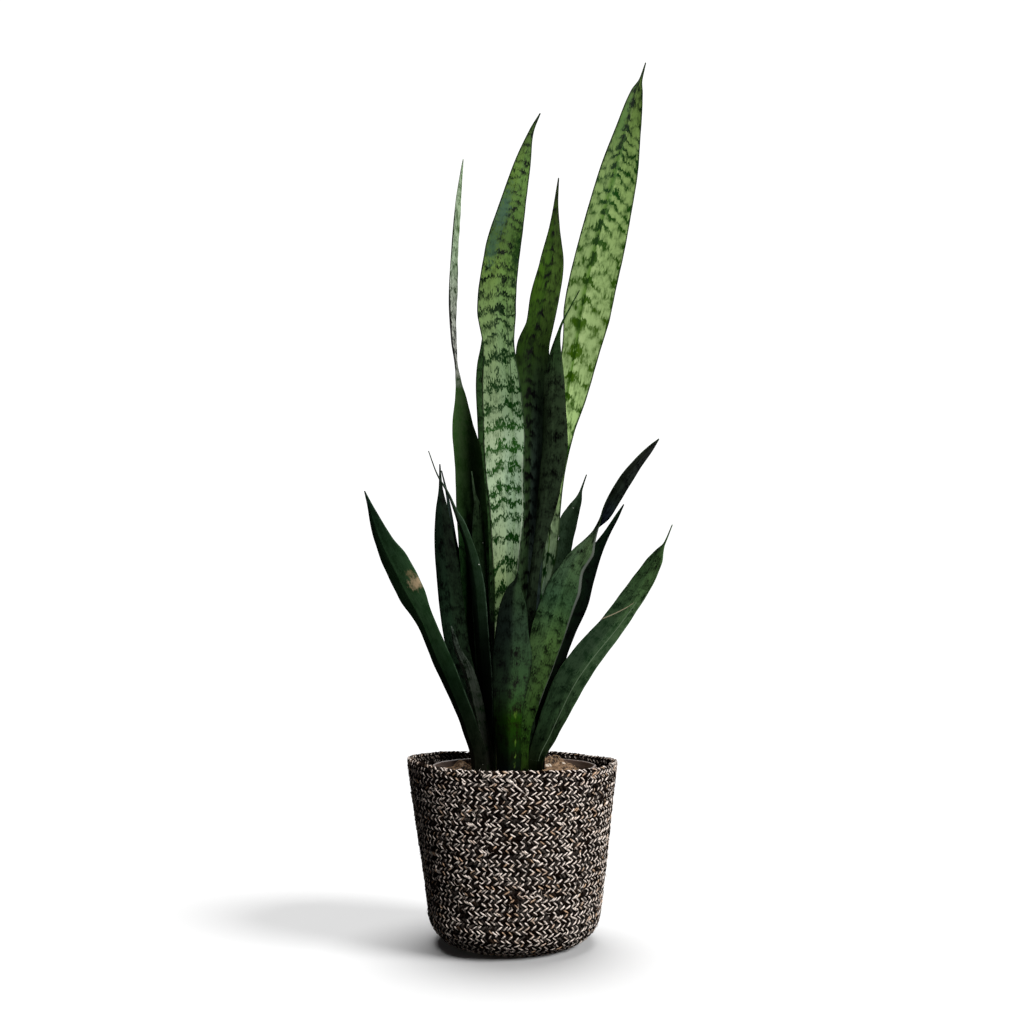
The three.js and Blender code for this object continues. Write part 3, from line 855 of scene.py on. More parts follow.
    def roots(
        self, count: int, reach: tuple[float, float], thick: tuple[float, float], seed: int
    ) -> Surface:
        """Coir and root fibres: bent lines over the soil that rise by sin(pi q) and dip back.

        Args:
            count: how many fibres.
            reach: the range of their lengths.
            thick: the range of their half-widths.
            seed: the seed of the draws.

        Returns:
            The fibres in one surface.
        """
        draw = np.random.default_rng(seed)
        radius = 70 * np.sqrt(draw.uniform(0, 1, (count, 1)))
        angle = draw.uniform(0, 2 * math.pi, (count, 1))
        share = np.linspace(0, 1, 7)
        way = draw.uniform(0, 2 * math.pi, (count, 1)) + draw.normal(0, 0.9, (count, 1)) * share
        length = draw.uniform(*reach, (count, 1))
        x = radius * np.cos(angle) + np.cumsum(np.cos(way), 1) * length / 7
        y = radius * np.sin(angle) + np.cumsum(np.sin(way), 1) * length / 7
        keep = np.minimum(1, 74 / np.maximum(np.hypot(x, y), 1))
        x, y = x * keep, y * keep
        lift = draw.uniform(0.3, 4.2, (count, 1)) * np.sin(math.pi * share)
        centre = np.stack([x + self.offset, y, self.level(x, y) + lift], -1)
        normal = np.zeros_like(centre)
        normal[..., 2] = 1
        wide = draw.uniform(*thick, (count, 1)) * np.array([1, 1, 1, 0.9, 0.9, 0.7, 0.5])
        layers = {"tone": draw.uniform(0.35, 0.72, count)}
        return spindles(centre, normal, wide, wide, 4, layers)

    def build(self) -> None:
        """Make and dress the pot, the soil and what lies on it."""
        placed(self.pot().made("pot_shell"), PotFinish().material(), "pot_plastic", "nursery_pot")
        earth = SoilFinish().material()
        fibres = self.roots(900, (6, 26), (0.14, 0.34), self.seed + 6)
        for name, surface in (
            ("body", self.soil()),
            ("crumbs", self.lumps(2600, (0.5, 2.2), 0.8, (0.0, 0.5), self.seed + 4)),
            ("perlite", self.lumps(52, (1.2, 2.6), 0.9, (0.9, 1.1), self.seed + 5, self.perlite)),
            ("fibres", fibres.joined(self.roots(40, (20, 46), (0.3, 0.6), self.seed + 7))),
        ):
            placed(surface.made("soil_" + name), earth, "soil", "soil")


class Marking(Enum):
    """How a leaf's cross bands run: their fall towards the margins, in mm for each mm across."""

    CHEVRON = 0.8
    ZIGZAG = 0.4
    LEVEL = 0.15


class Skin(Enum):
    """The leaves' skins, by the name of the record's slot that each takes its finish from."""

    PALE = "leaf_pale"
    BANDED = "leaf_banded"
    OLIVE = "leaf_olive"
    FRESH = "leaf_fresh"
    DEEP = "leaf_deep"


@dataclass(frozen=True)
class LeafFinish:
    """A fleshy leaf skin: ground, cross bands of fine strokes, mottling, margins and satin gloss.

    zigzag and stroke shake the bands, and cloud and grain weigh the mottling. Tones up to dark_to
    are the bands' colour, and from light_from the ground's. fleck scales the strokes across and
    along the leaf. thick is a band's half-width in shares of the spacing. crease and hem are the
    strengths of the fold at crease_at and of the closer bands at the margin of s = 1, and crease
    also weighs the fold's painted shade on its left and painted light on its right. margin is the
    lip's width in millimetres, and broken the share of it that clouds hide.
    """

    skin: Skin
    zigzag: float = 1.8
    stroke: float = 1.2
    dark_to: float = 0.0
    light_from: float = 1.05
    cloud: float = 2.2
    grain: float = 1.3
    fleck: tuple[float, float] = (0.6, 0.1)
    crease: float = 0.0
    crease_at: float = 0.0
    hem: float = 0.0
    thick: float = 0.3
    margin: float = 0.9
    broken: float = 0.0
    gloss: float = 0.015
    roughness: float = 0.4
    seam_tints: tuple[Colour, Colour] = ((0.25, 0.21, 0.14), (0.13, 0.18, 0.11))
    # Multipliers of the painted shade left of the crease and of the painted light right of it.
    crease_painted_shade: Colour = (0.34, 0.52, 0.14)
    crease_painted_light: Colour = (1.25, 1.2, 1.25)
    speck: Colour = (0.5, 0.52, 0.46)

    def material(self) -> bpy.types.Material:
        """The skin's material, which reads the layers of a leaf's mesh.

        The layer mark holds the place across the leaf, from -1 to 1, the bands' phase and their
        strength, and run the place in millimetres across and along it. The phase is shaken by two
        noises, and gap is its distance from a whole number, which is the middle of a band. near is
        the nearness to the crease and the hem, and the tone is

            0.72 - within strength fading (1 + near) + (0.95 - fading) near + speckles

        where within falls from 1 at a gap of 0 to 0 at thick + 0.12 near. It mixes the bands'
        colour with the ground. Over that come painted shade in a strip left of the crease and painted
        light in one right of it, the patches, a few of them painted sheen and painted shade, pale
        specks, two seams, and the lip along the margins.
        """
        sketch = Sketch(self.skin.value)
        run, mark = sketch.layer("run", "Vector"), sketch.layer("mark", "Vector")
        side, phase, strength = sketch.add("SeparateXYZ", {0: mark}).outputs[:3]
        cross = sketch.noise(run, (0.11, 0.06, 1), 2)
        stroke = sketch.noise(run, (*self.fleck, 1), 4, 5)
        cloud = sketch.noise(run, (0.14, 0.08, 1), 4, 21)
        fibre = sketch.noise(run, (1.6, 0.05, 1), 3, 17)
        fading = sketch.mad(sketch.noise(run, (0.05, 0.035, 1), 2, 41), 2.4, -0.2)
        fold = sketch.mad(cloud, 0.08, sketch.sub(side, self.crease_at + 0.04))
        near = sketch.step(sketch.calc("ABSOLUTE", sketch.calc("ADD", fold, 0.08)), 0.36, 0.03)
        near = sketch.mul(near, self.crease)
        near = sketch.mad(sketch.step(side, 0.6, 0.95), self.hem, near)
        moved = sketch.mad(cross, self.zigzag, phase)
        moved = sketch.mad(stroke, self.stroke, moved)
        moved = sketch.sub(moved, (self.zigzag + self.stroke) / 2 - 0.5)
        gap = sketch.calc("ABSOLUTE", sketch.sub(sketch.calc("FRACT", moved), 0.5))
        force = sketch.mul(sketch.mul(strength, fading), sketch.calc("ADD", near, 1))
        reach = sketch.mad(near, 0.12, self.thick)
        ends = {0: gap, 1: 0.0, 2: reach, 3: 1.0, 4: 0.0}
        within = sketch.add("MapRange", ends, interpolation_type="SMOOTHSTEP")
        tone = sketch.sub(0.72, sketch.mul(within.outputs[0], force))
        tone = sketch.mad(sketch.sub(0.95, fading), near, tone)
        for speckle, weight in ((cloud, self.cloud), (stroke, self.grain), (fibre, self.grain)):
            tone = sketch.mad(sketch.sub(speckle, 0.5), weight, tone)
        light = sketch.step(tone, self.dark_to, self.light_from)
        colour = sketch.blend(light, sketch.layer("band", "Color"), sketch.layer("ground", "Color"))
        # Painted shade left of the fold and painted light right of it.
        if self.crease:
            shaded = sketch.mul(sketch.step(fold, -0.32, -0.03), sketch.step(fold, 0.03, -0.02))
            lit = sketch.mul(sketch.step(fold, -0.02, 0.04), sketch.step(fold, 0.45, 0.08))
            crease_shadowed = sketch.blend(1.0, colour, self.crease_painted_shade, "MULTIPLY")
            pale = sketch.blend(1.0, colour, self.crease_painted_light, "MULTIPLY")
            colour = sketch.blend(sketch.mul(shaded, self.crease), colour, crease_shadowed)
            colour = sketch.blend(sketch.mul(lit, self.crease), colour, pale)
        ragged = sketch.noise(run, (0.5, 0.25, 1), 3, 31)
        spot = sketch.mad(ragged, 0.9, sketch.layer("patch"))
        patch = sketch.mul(sketch.step(spot, 0.6, 1.0), 0.85)
        colour = sketch.blend(patch, colour, sketch.layer("patch_tint", "Color"))
        cell = sketch.add("TexVoronoi", {"Vector": run, "Scale": 0.045, "Randomness": 1.0}).outputs
        chance = sketch.add("SeparateXYZ", {0: cell["Color"]}).outputs[0]
        dot = sketch.step(cell["Distance"], 0.03, 0.018)
        speck = sketch.mul(dot, sketch.step(chance, 0.62, 0.66))
        colour = sketch.blend(sketch.mul(speck, 0.7), colour, self.speck)
        seams = sketch.add("SeparateXYZ", {0: sketch.layer("seam", "Vector")}).outputs
        for seam, seam_tint in zip(seams, self.seam_tints):
            line = sketch.step(sketch.calc("ABSOLUTE", seam), 0.75, 0.25)
            colour = sketch.blend(sketch.mul(line, 0.8), colour, seam_tint)
        edge = sketch.mad(sketch.sub(stroke, 0.5), 0.8, sketch.layer("edge"))
        lip = sketch.mul(sketch.step(edge, self.margin + 0.5, self.margin - 0.5), 0.85)
        worn = sketch.mul(sketch.step(cloud, 0.6, 0.4), self.broken)
        lip = sketch.mul(lip, sketch.sub(1, worn))
        colour = sketch.blend(lip, colour, sketch.layer("lip", "Color"))
        rough = sketch.mad(fibre, 0.2, self.roughness - 0.1)
        sketch.feed(sketch.shader, {
            "Base Color": colour, "Roughness": rough, "Specular IOR Level": self.gloss,
        })
        sketch.relief(sketch.mad(fibre, 0.7, cloud), 0.0006, 0.35)
        return sketch.material


Row = tuple[float, float, float, float, float]
Stop = tuple[float, tuple[int, int, int], tuple[int, int, int], float]
Patch = tuple[float, float, float, float, tuple[int, int, int]]
FAR = 99.0


@dataclass
class Leaf:
    """One sword leaf, from its root in the soil to its tip.

    A row gives the midrib's x, y and z, the leaf's width, and the turn of its inner face from the
    front in degrees. A stop of colours_and_shading gives a height, the display colours of the ground
    and the bands there, and the bands' strength; these colours are the leaf's own with painted
    shade and painted light in them, as where a leaf is shaded low down among the others. The bands
    are heights, which go on above and below by the spacing, and apex is their peak's place across
    the leaf, where -1 and 1 are the margins. A patch gives its height, its place across, its height
    and width of reach, and its colour; most are the leaf's own marks, and a few are painted sheen
    and painted shade. The curl gives, at heights, how far the pale margin on the side curl_side
    turns in, in millimetres, its pale grey being painted sheen, and a seam its place across and
    height at both ends. The sides' tints multiply the left and right halves, as painted shade on one
    half and painted light on the other. The order is the leaf's number, which sets its waves and its
    noise.
    """

    skin: Skin
    name: str
    order: int
    rows: tuple[Row, ...]
    # Leaf colour with painted shade and painted light, by height.
    colours_and_shading: tuple[Stop, ...]
    bands: tuple[float, ...] = ()
    marking: Marking = Marking.LEVEL
    apex: float = 0.0
    spacing: float = 14
    patches: tuple[Patch, ...] = ()
    lip: tuple[int, int, int] = (30, 42, 26)
    curl: tuple[tuple[float, float], ...] = ()
    curl_side: int = -1
    curl_sheen_grey: int = 120
    seams: tuple[tuple[float, float, float, float], ...] = ()
    # The sides' tints are painted shade and painted light on the left and right halves.
    sides: tuple[Colour, Colour] = ((1, 1, 1), (1, 1, 1))
    root: float = 128.3
    ring_step: float = 3.2
    channel: tuple[float, float] = (0.5, 0.24)
    wave: float = 1.1
    edge_thick: float = 0.8
    most_thick: float = 3.4
    rounding: float = 0.6

    def midrib(self) -> tuple[Array, Array]:
        """Smooth rows along the leaf, and their distance from its root.

        Each column is the cubic through the given rows, knotted at the distances between them,
        with the harmonic mean of the neighbouring slopes at a row, or 0 where they differ in sign.
        """
        first = self.rows[0]
        rows = np.array([(first[0], first[1], self.root, *first[3:]), *self.rows], float)
        knots = np.concatenate([[0], np.cumsum(np.linalg.norm(np.diff(rows[:, :3], axis=0), axis=1))])
        step = np.diff(knots)[:, None]
        chord = np.diff(rows, axis=0) / step
        before, after = 2 * step[1:] + step[:-1], step[1:] + 2 * step[:-1]
        with np.errstate(divide="ignore", invalid="ignore"):
            mean = (before + after) / (before / chord[:-1] + after / chord[1:])
        slope = np.concatenate([chord[:1], np.where(chord[:-1] * chord[1:] > 0, mean, 0), chord[-1:]])
        at = np.linspace(0, knots[-1], math.ceil(knots[-1] / self.ring_step) + 1)
        span = np.clip(np.searchsorted(knots, at, side="right") - 1, 0, len(step) - 1)
        t = ((at - knots[span]) / step[span, 0])[:, None]
        h = step[span]
        smooth = (2 * t**3 - 3 * t**2 + 1) * rows[span] + (t**3 - 2 * t**2 + t) * h * slope[span]
        smooth += (3 * t**2 - 2 * t**3) * rows[span + 1] + (t**3 - t**2) * h * slope[span + 1]
        return smooth, at

    def blade(self) -> Surface:
        """The leaf's closed surface with the layers that its finish reads.

        Over s from -1 to 1 across the leaf, the section stands off its chord by a fold of
        channel (|s| ** 1.6 - 1/3) w / 2, a wave of |s| ** 3 sin along the margin, and half the
        thickness, which falls as 1 - s ** 2 to the margin and rounds off over the last 0.6 mm. A
        shallow groove follows the midrib on both faces.
        """
        rows, run = self.midrib()
        centre, width, turn = rows[:, :3], rows[:, 3:4], np.radians(rows[:, 4])
        along = np.gradient(centre, axis=0)
        along /= np.linalg.norm(along, axis=1, keepdims=True)
        inward = np.stack([np.sin(turn), -np.cos(turn), np.zeros_like(turn)], -1)
        inward -= (inward * along).sum(1, keepdims=True) * along
        inward /= np.linalg.norm(inward, axis=1, keepdims=True)
        across = np.cross(along, inward)
        half = np.array([0, 0.05, 0.12, 0.25, 0.4, 0.55, 0.7, 0.84, 0.94])
        front = np.concatenate([-half[:0:-1], half])
        s = np.concatenate([[-1], front, [1], front[::-1]])[None, :]
        face = np.concatenate([[0], np.ones_like(front), [0], -np.ones_like(front)])[None, :]
        share = (run / run[-1])[:, None]
        size = np.abs(s)
        channel = self.channel[0] + (self.channel[1] - self.channel[0]) * share
        fold = channel * (size**1.6 - 1 / 3) * width / 2
        swing = 2 * math.pi * run[:, None] / 88 + self.order + 2 * s
        lean = np.minimum(width / 40, 1) * size**3
        waves = lean * (self.wave * np.sin(swing) + 0.25 * np.sin(3.7 * swing + self.order))
        full = np.minimum(self.edge_thick + 0.07 * width, self.most_thick)
        round_off = np.sqrt(np.clip((1 - size) * width / 2 / self.rounding, 0, 1))
        skin = (self.edge_thick + (full - self.edge_thick) * (1 - s**2)) * round_off
        groove = 0.22 * np.exp(-((s * width / 2) ** 2)) * np.minimum(width / 20, 1)
        out = fold + waves + face * skin / 2 - groove
        points = centre[:, None] + (s * width / 2)[..., None] * across[:, None]
        points += out[..., None] * inward[:, None]
        count, around = points.shape[:2]
        points = np.concatenate([points.reshape(-1, 3), centre[:1], centre[-1:]])
        surface = Surface(points, tube(count, around))
        for name, values in self.painted(rows, run, s, width).items():
            flat = values.reshape(count * around, -1)
            ends = np.stack([flat[:around].mean(0), flat[-around:].mean(0)])
            surface.layers[name] = np.concatenate([flat, ends]).squeeze()
        return surface

    def painted(self, rows: Array, run: Array, s: Array, width: Array) -> dict[str, Array]:
        """The finish's layers.

        The bands' phase is the count of bands below a point, whose height is raised by the
        marking's fall times the distance from the apex, so that a band's arms fall away. Ground
        and band are the colours_and_shading stops at a height, leaf colour with painted shade and
        painted light, times the side shading, a tint that eases over the midrib from the left side's
        to the right side's and paints shade on one half and light on the other. The lip has the
        ground's colour up to the neck of the basket.

        Args:
            rows: the smooth rows of the midrib.
            run: their distance along it.
            s: the places across the leaf.
            width: the leaf's width at each row.

        Returns:
            For each layer, (rings, points round a ring) values, or (rings, points, parts).
        """
        grid = np.ones_like(width * s)
        height = rows[:, 2:3] * grid
        stops = np.array([stop[0] for stop in self.colours_and_shading], float)
        force = np.interp(height, stops, [stop[3] for stop in self.colours_and_shading])
        if self.marking is Marking.CHEVRON:
            force = force * (1 - 0.5 * ease(np.abs(s - self.apex), 0.08, 0.55))
        share = ease(s, -0.25, 0.25)
        # Painted shade on one half of the leaf and painted light on the other.
        side_shading = [left + (right - left) * share for left, right in zip(*self.sides)]
        layers = {}
        for name, column in (("ground", 1), ("band", 2)):
            table = np.array([tint(*stop[column]) for stop in self.colours_and_shading])
            tones = [np.interp(height, stops, table[:, i]) * side_shading[i] for i in range(3)]
            layers[name] = np.stack([*tones, grid], -1)
        edge = width / 2 - np.abs(s) * width / 2
        rise = ease(height, 195, 245)[..., None]
        lip = (1 - rise) * layers["ground"] + rise * np.array((*tint(*self.lip), 1))
        if self.curl:
            levels, reach = np.array(self.curl, float).T
            near = (np.sign(s) == self.curl_side) * np.interp(height, levels, reach, 0, 0)
            edge = edge - near
            # The curled margin's pale grey is painted sheen.
            grey = (self.curl_sheen_grey, self.curl_sheen_grey * 1.05, self.curl_sheen_grey * 0.98)
            lip[near > 0.3] = (*tint(*grey), 1)
        place = s * width / 2, run[:, None] * grid
        spot, spot_tint = self.spots(height, s)
        layers["run"] = np.stack([*place, 37.0 * self.order * grid], -1)
        layers["mark"] = np.stack([s * grid, self.phase(height, s, width), force], -1)
        layers["seam"] = self.seam_lines(rows, run, width, *place)
        layers.update({"edge": edge, "lip": lip, "patch": spot, "patch_tint": spot_tint})
        return layers

    def phase(self, height: Array, s: Array, width: Array) -> Array:
        """The count of bands below each point: the given bands, and more a spacing apart."""
        raised = height + self.marking.value * np.abs(s - self.apex) * width / 2
        if not self.bands:
            return raised / self.spacing
        ladder = np.array(sorted(self.bands))
        low, high = ladder[0] - self.spacing * 12, ladder[-1] + self.spacing * 8
        before = np.arange(ladder[0] - self.spacing, low, -self.spacing)[::-1]
        after = np.arange(ladder[-1] + self.spacing, high, self.spacing)
        ladder = np.concatenate([before, ladder, after])
        return np.interp(raised, ladder, np.arange(len(ladder)))

    def spots(self, height: Array, s: Array) -> tuple[Array, Array]:
        """The patches' mask, 0.6 less half the distance in reaches, and the colour of the nearest."""
        spot, colours = np.full(height.shape, -1.0), np.zeros((*height.shape, 4))
        for level, place, tall, wide, colour in self.patches:
            here = 0.6 - np.hypot((height - level) / tall, (s - place) / wide) * 0.5
            colours[here > spot] = (*tint(*colour), 1)
            spot = np.maximum(spot, here)
        return spot, colours

    def seam_lines(self, rows: Array, run: Array, width: Array, x: Array, y: Array) -> Array:
        """Each seam's signed distance in millimetres, FAR beyond its ends and where there is none.

        Args:
            rows, run, width: the midrib's smooth rows, their distance along it and the width there.
            x, y: the points' places across and along the leaf.

        Returns:
            (rings, points, 3) distances, a part for each seam.
        """
        seam = np.full((*y.shape, 3), FAR)
        index = np.arange(len(rows))
        for i, (side, low, far_side, high) in enumerate(self.seams):
            rows_at = np.interp([low, high], rows[:, 2], index)
            x0, x1 = np.interp(rows_at, index, width[:, 0]) / 2 * (side, far_side)
            y0, y1 = np.interp(rows_at, index, run)
            long = math.hypot(x1 - x0, y1 - y0)
            off_line = ((x - x0) * (y1 - y0) - (y - y0) * (x1 - x0)) / long
            place = ((x - x0) * (x1 - x0) + (y - y0) * (y1 - y0)) / long
            seam[..., i] = np.where((place > 0) & (place < long), off_line, FAR)
        return seam

    def build(self, material: bpy.types.Material) -> None:
        """Make the leaf and dress it in its skin's material."""
        placed(self.blade().made("blade_" + self.name), material, self.skin.value, "leaf_" + self.name)


FINISHES = (
    LeafFinish(
        Skin.PALE, zigzag=1.3, stroke=1.0, light_from=1.0, grain=0.9, thick=0.26, crease=0.9,
        crease_at=-0.15, hem=0.6, margin=1.5,
    ),
    LeafFinish(
        Skin.BANDED, zigzag=1.6, stroke=1.6, dark_to=0.05, light_from=0.85, cloud=1.7, grain=1.0,
        fleck=(0.75, 0.22), thick=0.32, crease=0.25, crease_at=0.5, margin=1.4,
        # The pale second seam tint is a painted highlight along the lit margin.
        seam_tints=((0.012, 0.03, 0.008), (0.3, 0.36, 0.26)),
    ),
    LeafFinish(Skin.OLIVE, light_from=1.0, cloud=1.6, grain=1.1, crease=0.6, gloss=0.01),
    LeafFinish(Skin.FRESH, cloud=2.0, fleck=(0.8, 0.4), margin=0.4),
    LeafFinish(Skin.DEEP, dark_to=0.05, fleck=(0.7, 0.35), margin=0.3, broken=0.9, gloss=0.01),
)
LEAVES = (
    Leaf(
        Skin.PALE, "tall_right", 0,
        (
            (16, 22, 164, 21, 10), (23, 26, 271, 17, 10), (32, 29, 343, 14, 10), (41, 31, 391, 15, 12),
            (45, 35, 463, 21, 14), (54, 37, 518, 28, 16), (62.5, 39, 552, 34, 16),
            (76.5, 41, 620, 46.5, 14), (81.5, 42, 650, 53.5, 13), (88.5, 43, 684, 55, 12),
            (103, 45, 744, 52, 9), (120, 47, 815, 44, 5), (132.5, 49, 869, 30, 5), (144, 51, 919, 14, 5),
            (149, 51, 935, 4, 5), (155, 52, 956, 1.4, 5),
        ),
        (
            (170, (39, 54, 43), (2, 25, 1), 0.6), (330, (63, 77, 66), (4, 35, 3), 0.8),
            (420, (100, 118, 85), (3, 14, 2), 0.8), (480, (150, 178, 112), (22, 56, 6), 0.8),
            (600, (125, 145, 95), (43, 69, 1), 0.8), (800, (108, 130, 75), (8, 44, 1), 0.8),
            (880, (77, 98, 47), (2, 20, 1), 0.8), (956, (55, 70, 31), (1, 12, 1), 0.8),
        ),
        marking=Marking.CHEVRON, apex=-0.15, spacing=22, lip=(14, 30, 6),
        sides=((0.9, 0.91, 0.92), (1.1, 1.11, 1.09)),
        bands=(
            904, 886, 873, 862, 850, 840, 828, 817, 798, 784, 772, 756, 736, 713, 690, 668, 643, 608, 580,
            555, 530, 505, 480, 455, 430, 405,
        ),
        # Both patches are painted shade: a streak along the crease and the left half darker near the top.
        patches=((812, -0.12, 80, 0.16, (58, 88, 34)), (885, -0.66, 58, 0.5, (66, 94, 46))),
    ),
    Leaf(
        Skin.BANDED, "tall_centre", 1,
        (
            (-6, -8, 167, 20, -5), (-6, -11, 290, 24, -5), (-6, -13, 339, 24, -4), (-6, -14, 372, 28, -2),
            (-5, -14, 420, 36, 2), (-8, -14, 463, 40, 4), (-9, -13, 506, 44, 8), (-11, -12, 539, 42, 10),
            (-15, -10, 597, 35, 14), (-17.5, -8, 633, 42, 16), (-12, -6, 696, 39.5, 18),
            (-1.5, -3, 748, 31, 20), (11, -1, 804, 18.5, 20), (21.5, 1, 844, 5.5, 20),
            (31, 2, 865, 1.4, 20),
        ),
        (
            (167, (180, 200, 163), (1, 14, 1), 0.68), (335, (74, 95, 60), (7, 24, 3), 0.9),
            (356, (119, 140, 99), (7, 41, 3), 0.9), (378, (127, 148, 113), (6, 38, 2), 0.9),
            (450, (144, 167, 137), (20, 56, 13), 0.9), (500, (138, 157, 126), (31, 68, 20), 0.9),
            (522, (113, 134, 101), (11, 43, 6), 0.9), (685, (83, 110, 50), (1, 12, 1), 0.65),
            (720, (58, 82, 34), (1, 4, 1), 0.42), (800, (80, 109, 49), (1, 12, 1), 0.4),
            (865, (33, 48, 22), (1, 2, 1), 0.4),
        ),
        marking=Marking.ZIGZAG, apex=0.1, spacing=16, lip=(8, 24, 4),
        sides=((0.99, 0.94, 0.91), (1.04, 1.05, 1.09)),
        bands=(
            840, 828, 817, 808, 798, 789, 780, 771, 762, 753, 744, 735, 725, 715, 703, 690, 674, 657, 637,
            626, 608, 589, 555, 533, 512, 492, 469, 446, 432, 418, 395, 368, 340, 319,
        ),
        # The first two patches are painted sheen on the left half; the third is the leaf's own dark wedge.
        patches=(
            (746, -0.55, 46, 0.75, (54, 78, 62)), (704, -0.6, 36, 0.6, (48, 72, 52)),
            (700, 0.85, 56, 0.62, (3, 34, 3)),
        ),
        # The second seam is a painted highlight along the lit margin.
        seams=((0.5, 520, 0.58, 645), (0.88, 335, 0.9, 480)),
    ),
    Leaf(
        Skin.OLIVE, "tall_inner", 2,
        (
            (5, 10, 166, 18, -8), (13, 13, 291, 27, -8), (18, 17, 416, 35, -6), (20, 20, 524, 40, 0),
            (22, 22, 601, 36, 5), (30, 23, 631, 30, 6), (35, 24, 660, 32, 8), (43, 25, 700, 27, 10),
            (47, 27, 745, 12, 12), (49, 28, 774, 5, 12), (52, 29, 803, 1.4, 12),
        ),
        (
            (166, (41, 54, 47), (1, 1, 1), 0.29), (400, (53, 70, 53), (1, 1, 1), 0.38),
            (600, (26, 44, 10), (1, 1, 1), 0.38), (690, (52, 77, 22), (1, 4, 1), 0.38),
            (745, (40, 60, 16), (1, 3, 1), 0.38), (803, (25, 33, 3), (1, 1, 1), 0.38),
        ),
        marking=Marking.CHEVRON, spacing=15, lip=(12, 24, 6),
        sides=((0.93, 1.03, 0.69), (1.08, 0.97, 1.44)),
    ),
    Leaf(
        Skin.DEEP, "dark_inner", 3,
        (
            (14, -6, 167, 18, 150), (15, -6, 281, 15, 150), (21, -6, 349, 12, 150), (28, -6, 392, 14, 150),
            (36, -6, 439, 26, 150), (43, -6, 497, 30, 150), (43, -5, 555, 25, 150), (45, -4, 591, 15, 145),
            (51, -3, 619, 4, 140), (63, -2, 644, 2, 135), (72, -1, 661, 1.4, 130),
        ),
        (
            (160, (30, 45, 28), (1, 1, 1), 0.17), (400, (45, 58, 41), (1, 1, 1), 0.22),
            (560, (50, 66, 43), (1, 1, 1), 0.22), (661, (38, 81, 26), (1, 1, 1), 0.22),
        ),
        marking=Marking.ZIGZAG, sides=((0.6, 0.6, 0.6), (1.3, 1.3, 1.3)),
    ),
    Leaf(
        Skin.DEEP, "tall_left", 4,
        (
            (-29, 18, 165, 17, 20), (-36, 21, 291, 25, 20), (-42, 23, 396, 34, 20), (-48, 25, 483, 32, 22),
            (-54, 26, 520, 25, 30), (-56, 27, 549, 17, 40), (-59, 28, 571, 11, 58), (-61, 29, 589, 11, 86),
            (-64.3, 30, 616, 20, 81), (-66.6, 31, 662, 26, 77), (-64.6, 33, 720, 24, 77),
            (-61.4, 35, 773, 17, 77), (-57, 37, 814, 8, 77), (-55, 38, 830, 1.4, 77),
        ),
        (
            (160, (7, 20, 7), (1, 1, 1), 0.15), (400, (22, 45, 19), (1, 1, 1), 0.2),
            # The near-white ground at 600 is painted light where the strap turns.
            (560, (67, 89, 53), (46, 81, 32), 0.3), (600, (255, 255, 244), (3, 15, 1), 0.4),
            (700, (150, 170, 138), (50, 74, 37), 0.4), (830, (150, 170, 138), (60, 84, 44), 0.4),
        ),
        spacing=15, lip=(30, 44, 26),
    ),
    Leaf(
        Skin.DEEP, "back_left", 5,
        (
            (-14, 29, 164, 18, 0), (-19, 32, 291, 25, 0), (-20, 35, 397, 28, 0), (-23, 37, 500, 27, 0),
            (-25.5, 38, 551, 27, 0), (-29, 39, 593, 18, 0), (-29, 40, 612, 11, 0), (-28, 41, 652, 1.4, 0),
        ),
        (
            # The black ground and bands low down are painted shade behind the other leaves.
            (160, (0, 0, 0), (0, 0, 0), 0.15), (300, (0, 0, 0), (0, 0, 0), 0.2),
            (470, (71, 108, 59), (1, 1, 1), 0.2),
        ),
    ),
    Leaf(
        Skin.DEEP, "low_left", 6,
        (
            (-34, -30, 170, 19, 140), (-43, -33, 205, 21, 142), (-58.5, -37, 244, 22, 142),
            (-72, -41, 274, 24, 142), (-85.5, -44, 306, 24, 142), (-101.3, -47, 336, 33, 142),
            (-114.7, -50, 362, 34, 142), (-126.6, -52, 385, 24, 143), (-134.2, -54, 404, 15, 145),
            (-140, -55, 421, 6.5, 145), (-145, -56, 435, 1.4, 145),
        ),
        (
            (165, (28, 29, 22), (1, 2, 1), 0.15), (250, (22, 40, 23), (15, 31, 14), 0.2),
            (340, (57, 87, 55), (38, 69, 37), 0.2), (435, (21, 42, 32), (1, 1, 1), 0.2),
        ),
        spacing=16, lip=(60, 78, 60), sides=((0.6, 0.6, 0.6), (1.5, 1.5, 1.5)),
        patches=((340, -0.8, 9, 0.62, (164, 142, 112)), (350, -0.7, 5, 0.3, (120, 108, 78))),
    ),
    Leaf(
        Skin.DEEP, "left_inner", 7,
        (
            (-26, -10, 168, 16, 150), (-27, -14, 231, 16, 150), (-31, -18, 290, 17, 150),
            (-35, -21, 340, 16, 150), (-40, -23, 370, 14, 148), (-45, -24, 389, 11, 146),
            (-52, -25, 408, 9, 144), (-57, -25, 419, 5, 142), (-64, -26, 436, 3, 140),
            (-76, -26, 457, 2, 135), (-85, -27, 481, 1.4, 130),
        ),
        (
            (160, (9, 8, 7), (8, 8, 6), 0.15), (300, (15, 25, 16), (8, 18, 8), 0.2),
            (400, (36, 54, 37), (20, 39, 18), 0.2), (470, (48, 56, 48), (45, 52, 44), 0.2),
        ),
        lip=(70, 88, 72),
    ),
    Leaf(
        Skin.DEEP, "left_upright", 8,
        (
            (-32, 2, 166, 16, 170), (-42, 1, 231, 19, 170), (-57, 0, 290, 25, 172),
            (-62.5, -1, 329, 25.5, 175), (-66.6, -2, 365, 24.5, 175), (-70.6, -2, 397, 19.5, 175),
            (-72.6, -3, 424, 13, 175), (-74, -3, 449, 4, 175), (-75, -3, 472, 1.4, 175),
        ),
        (
            (160, (24, 34, 23), (1, 1, 1), 0.15), (300, (32, 50, 33), (1, 1, 1), 0.2),
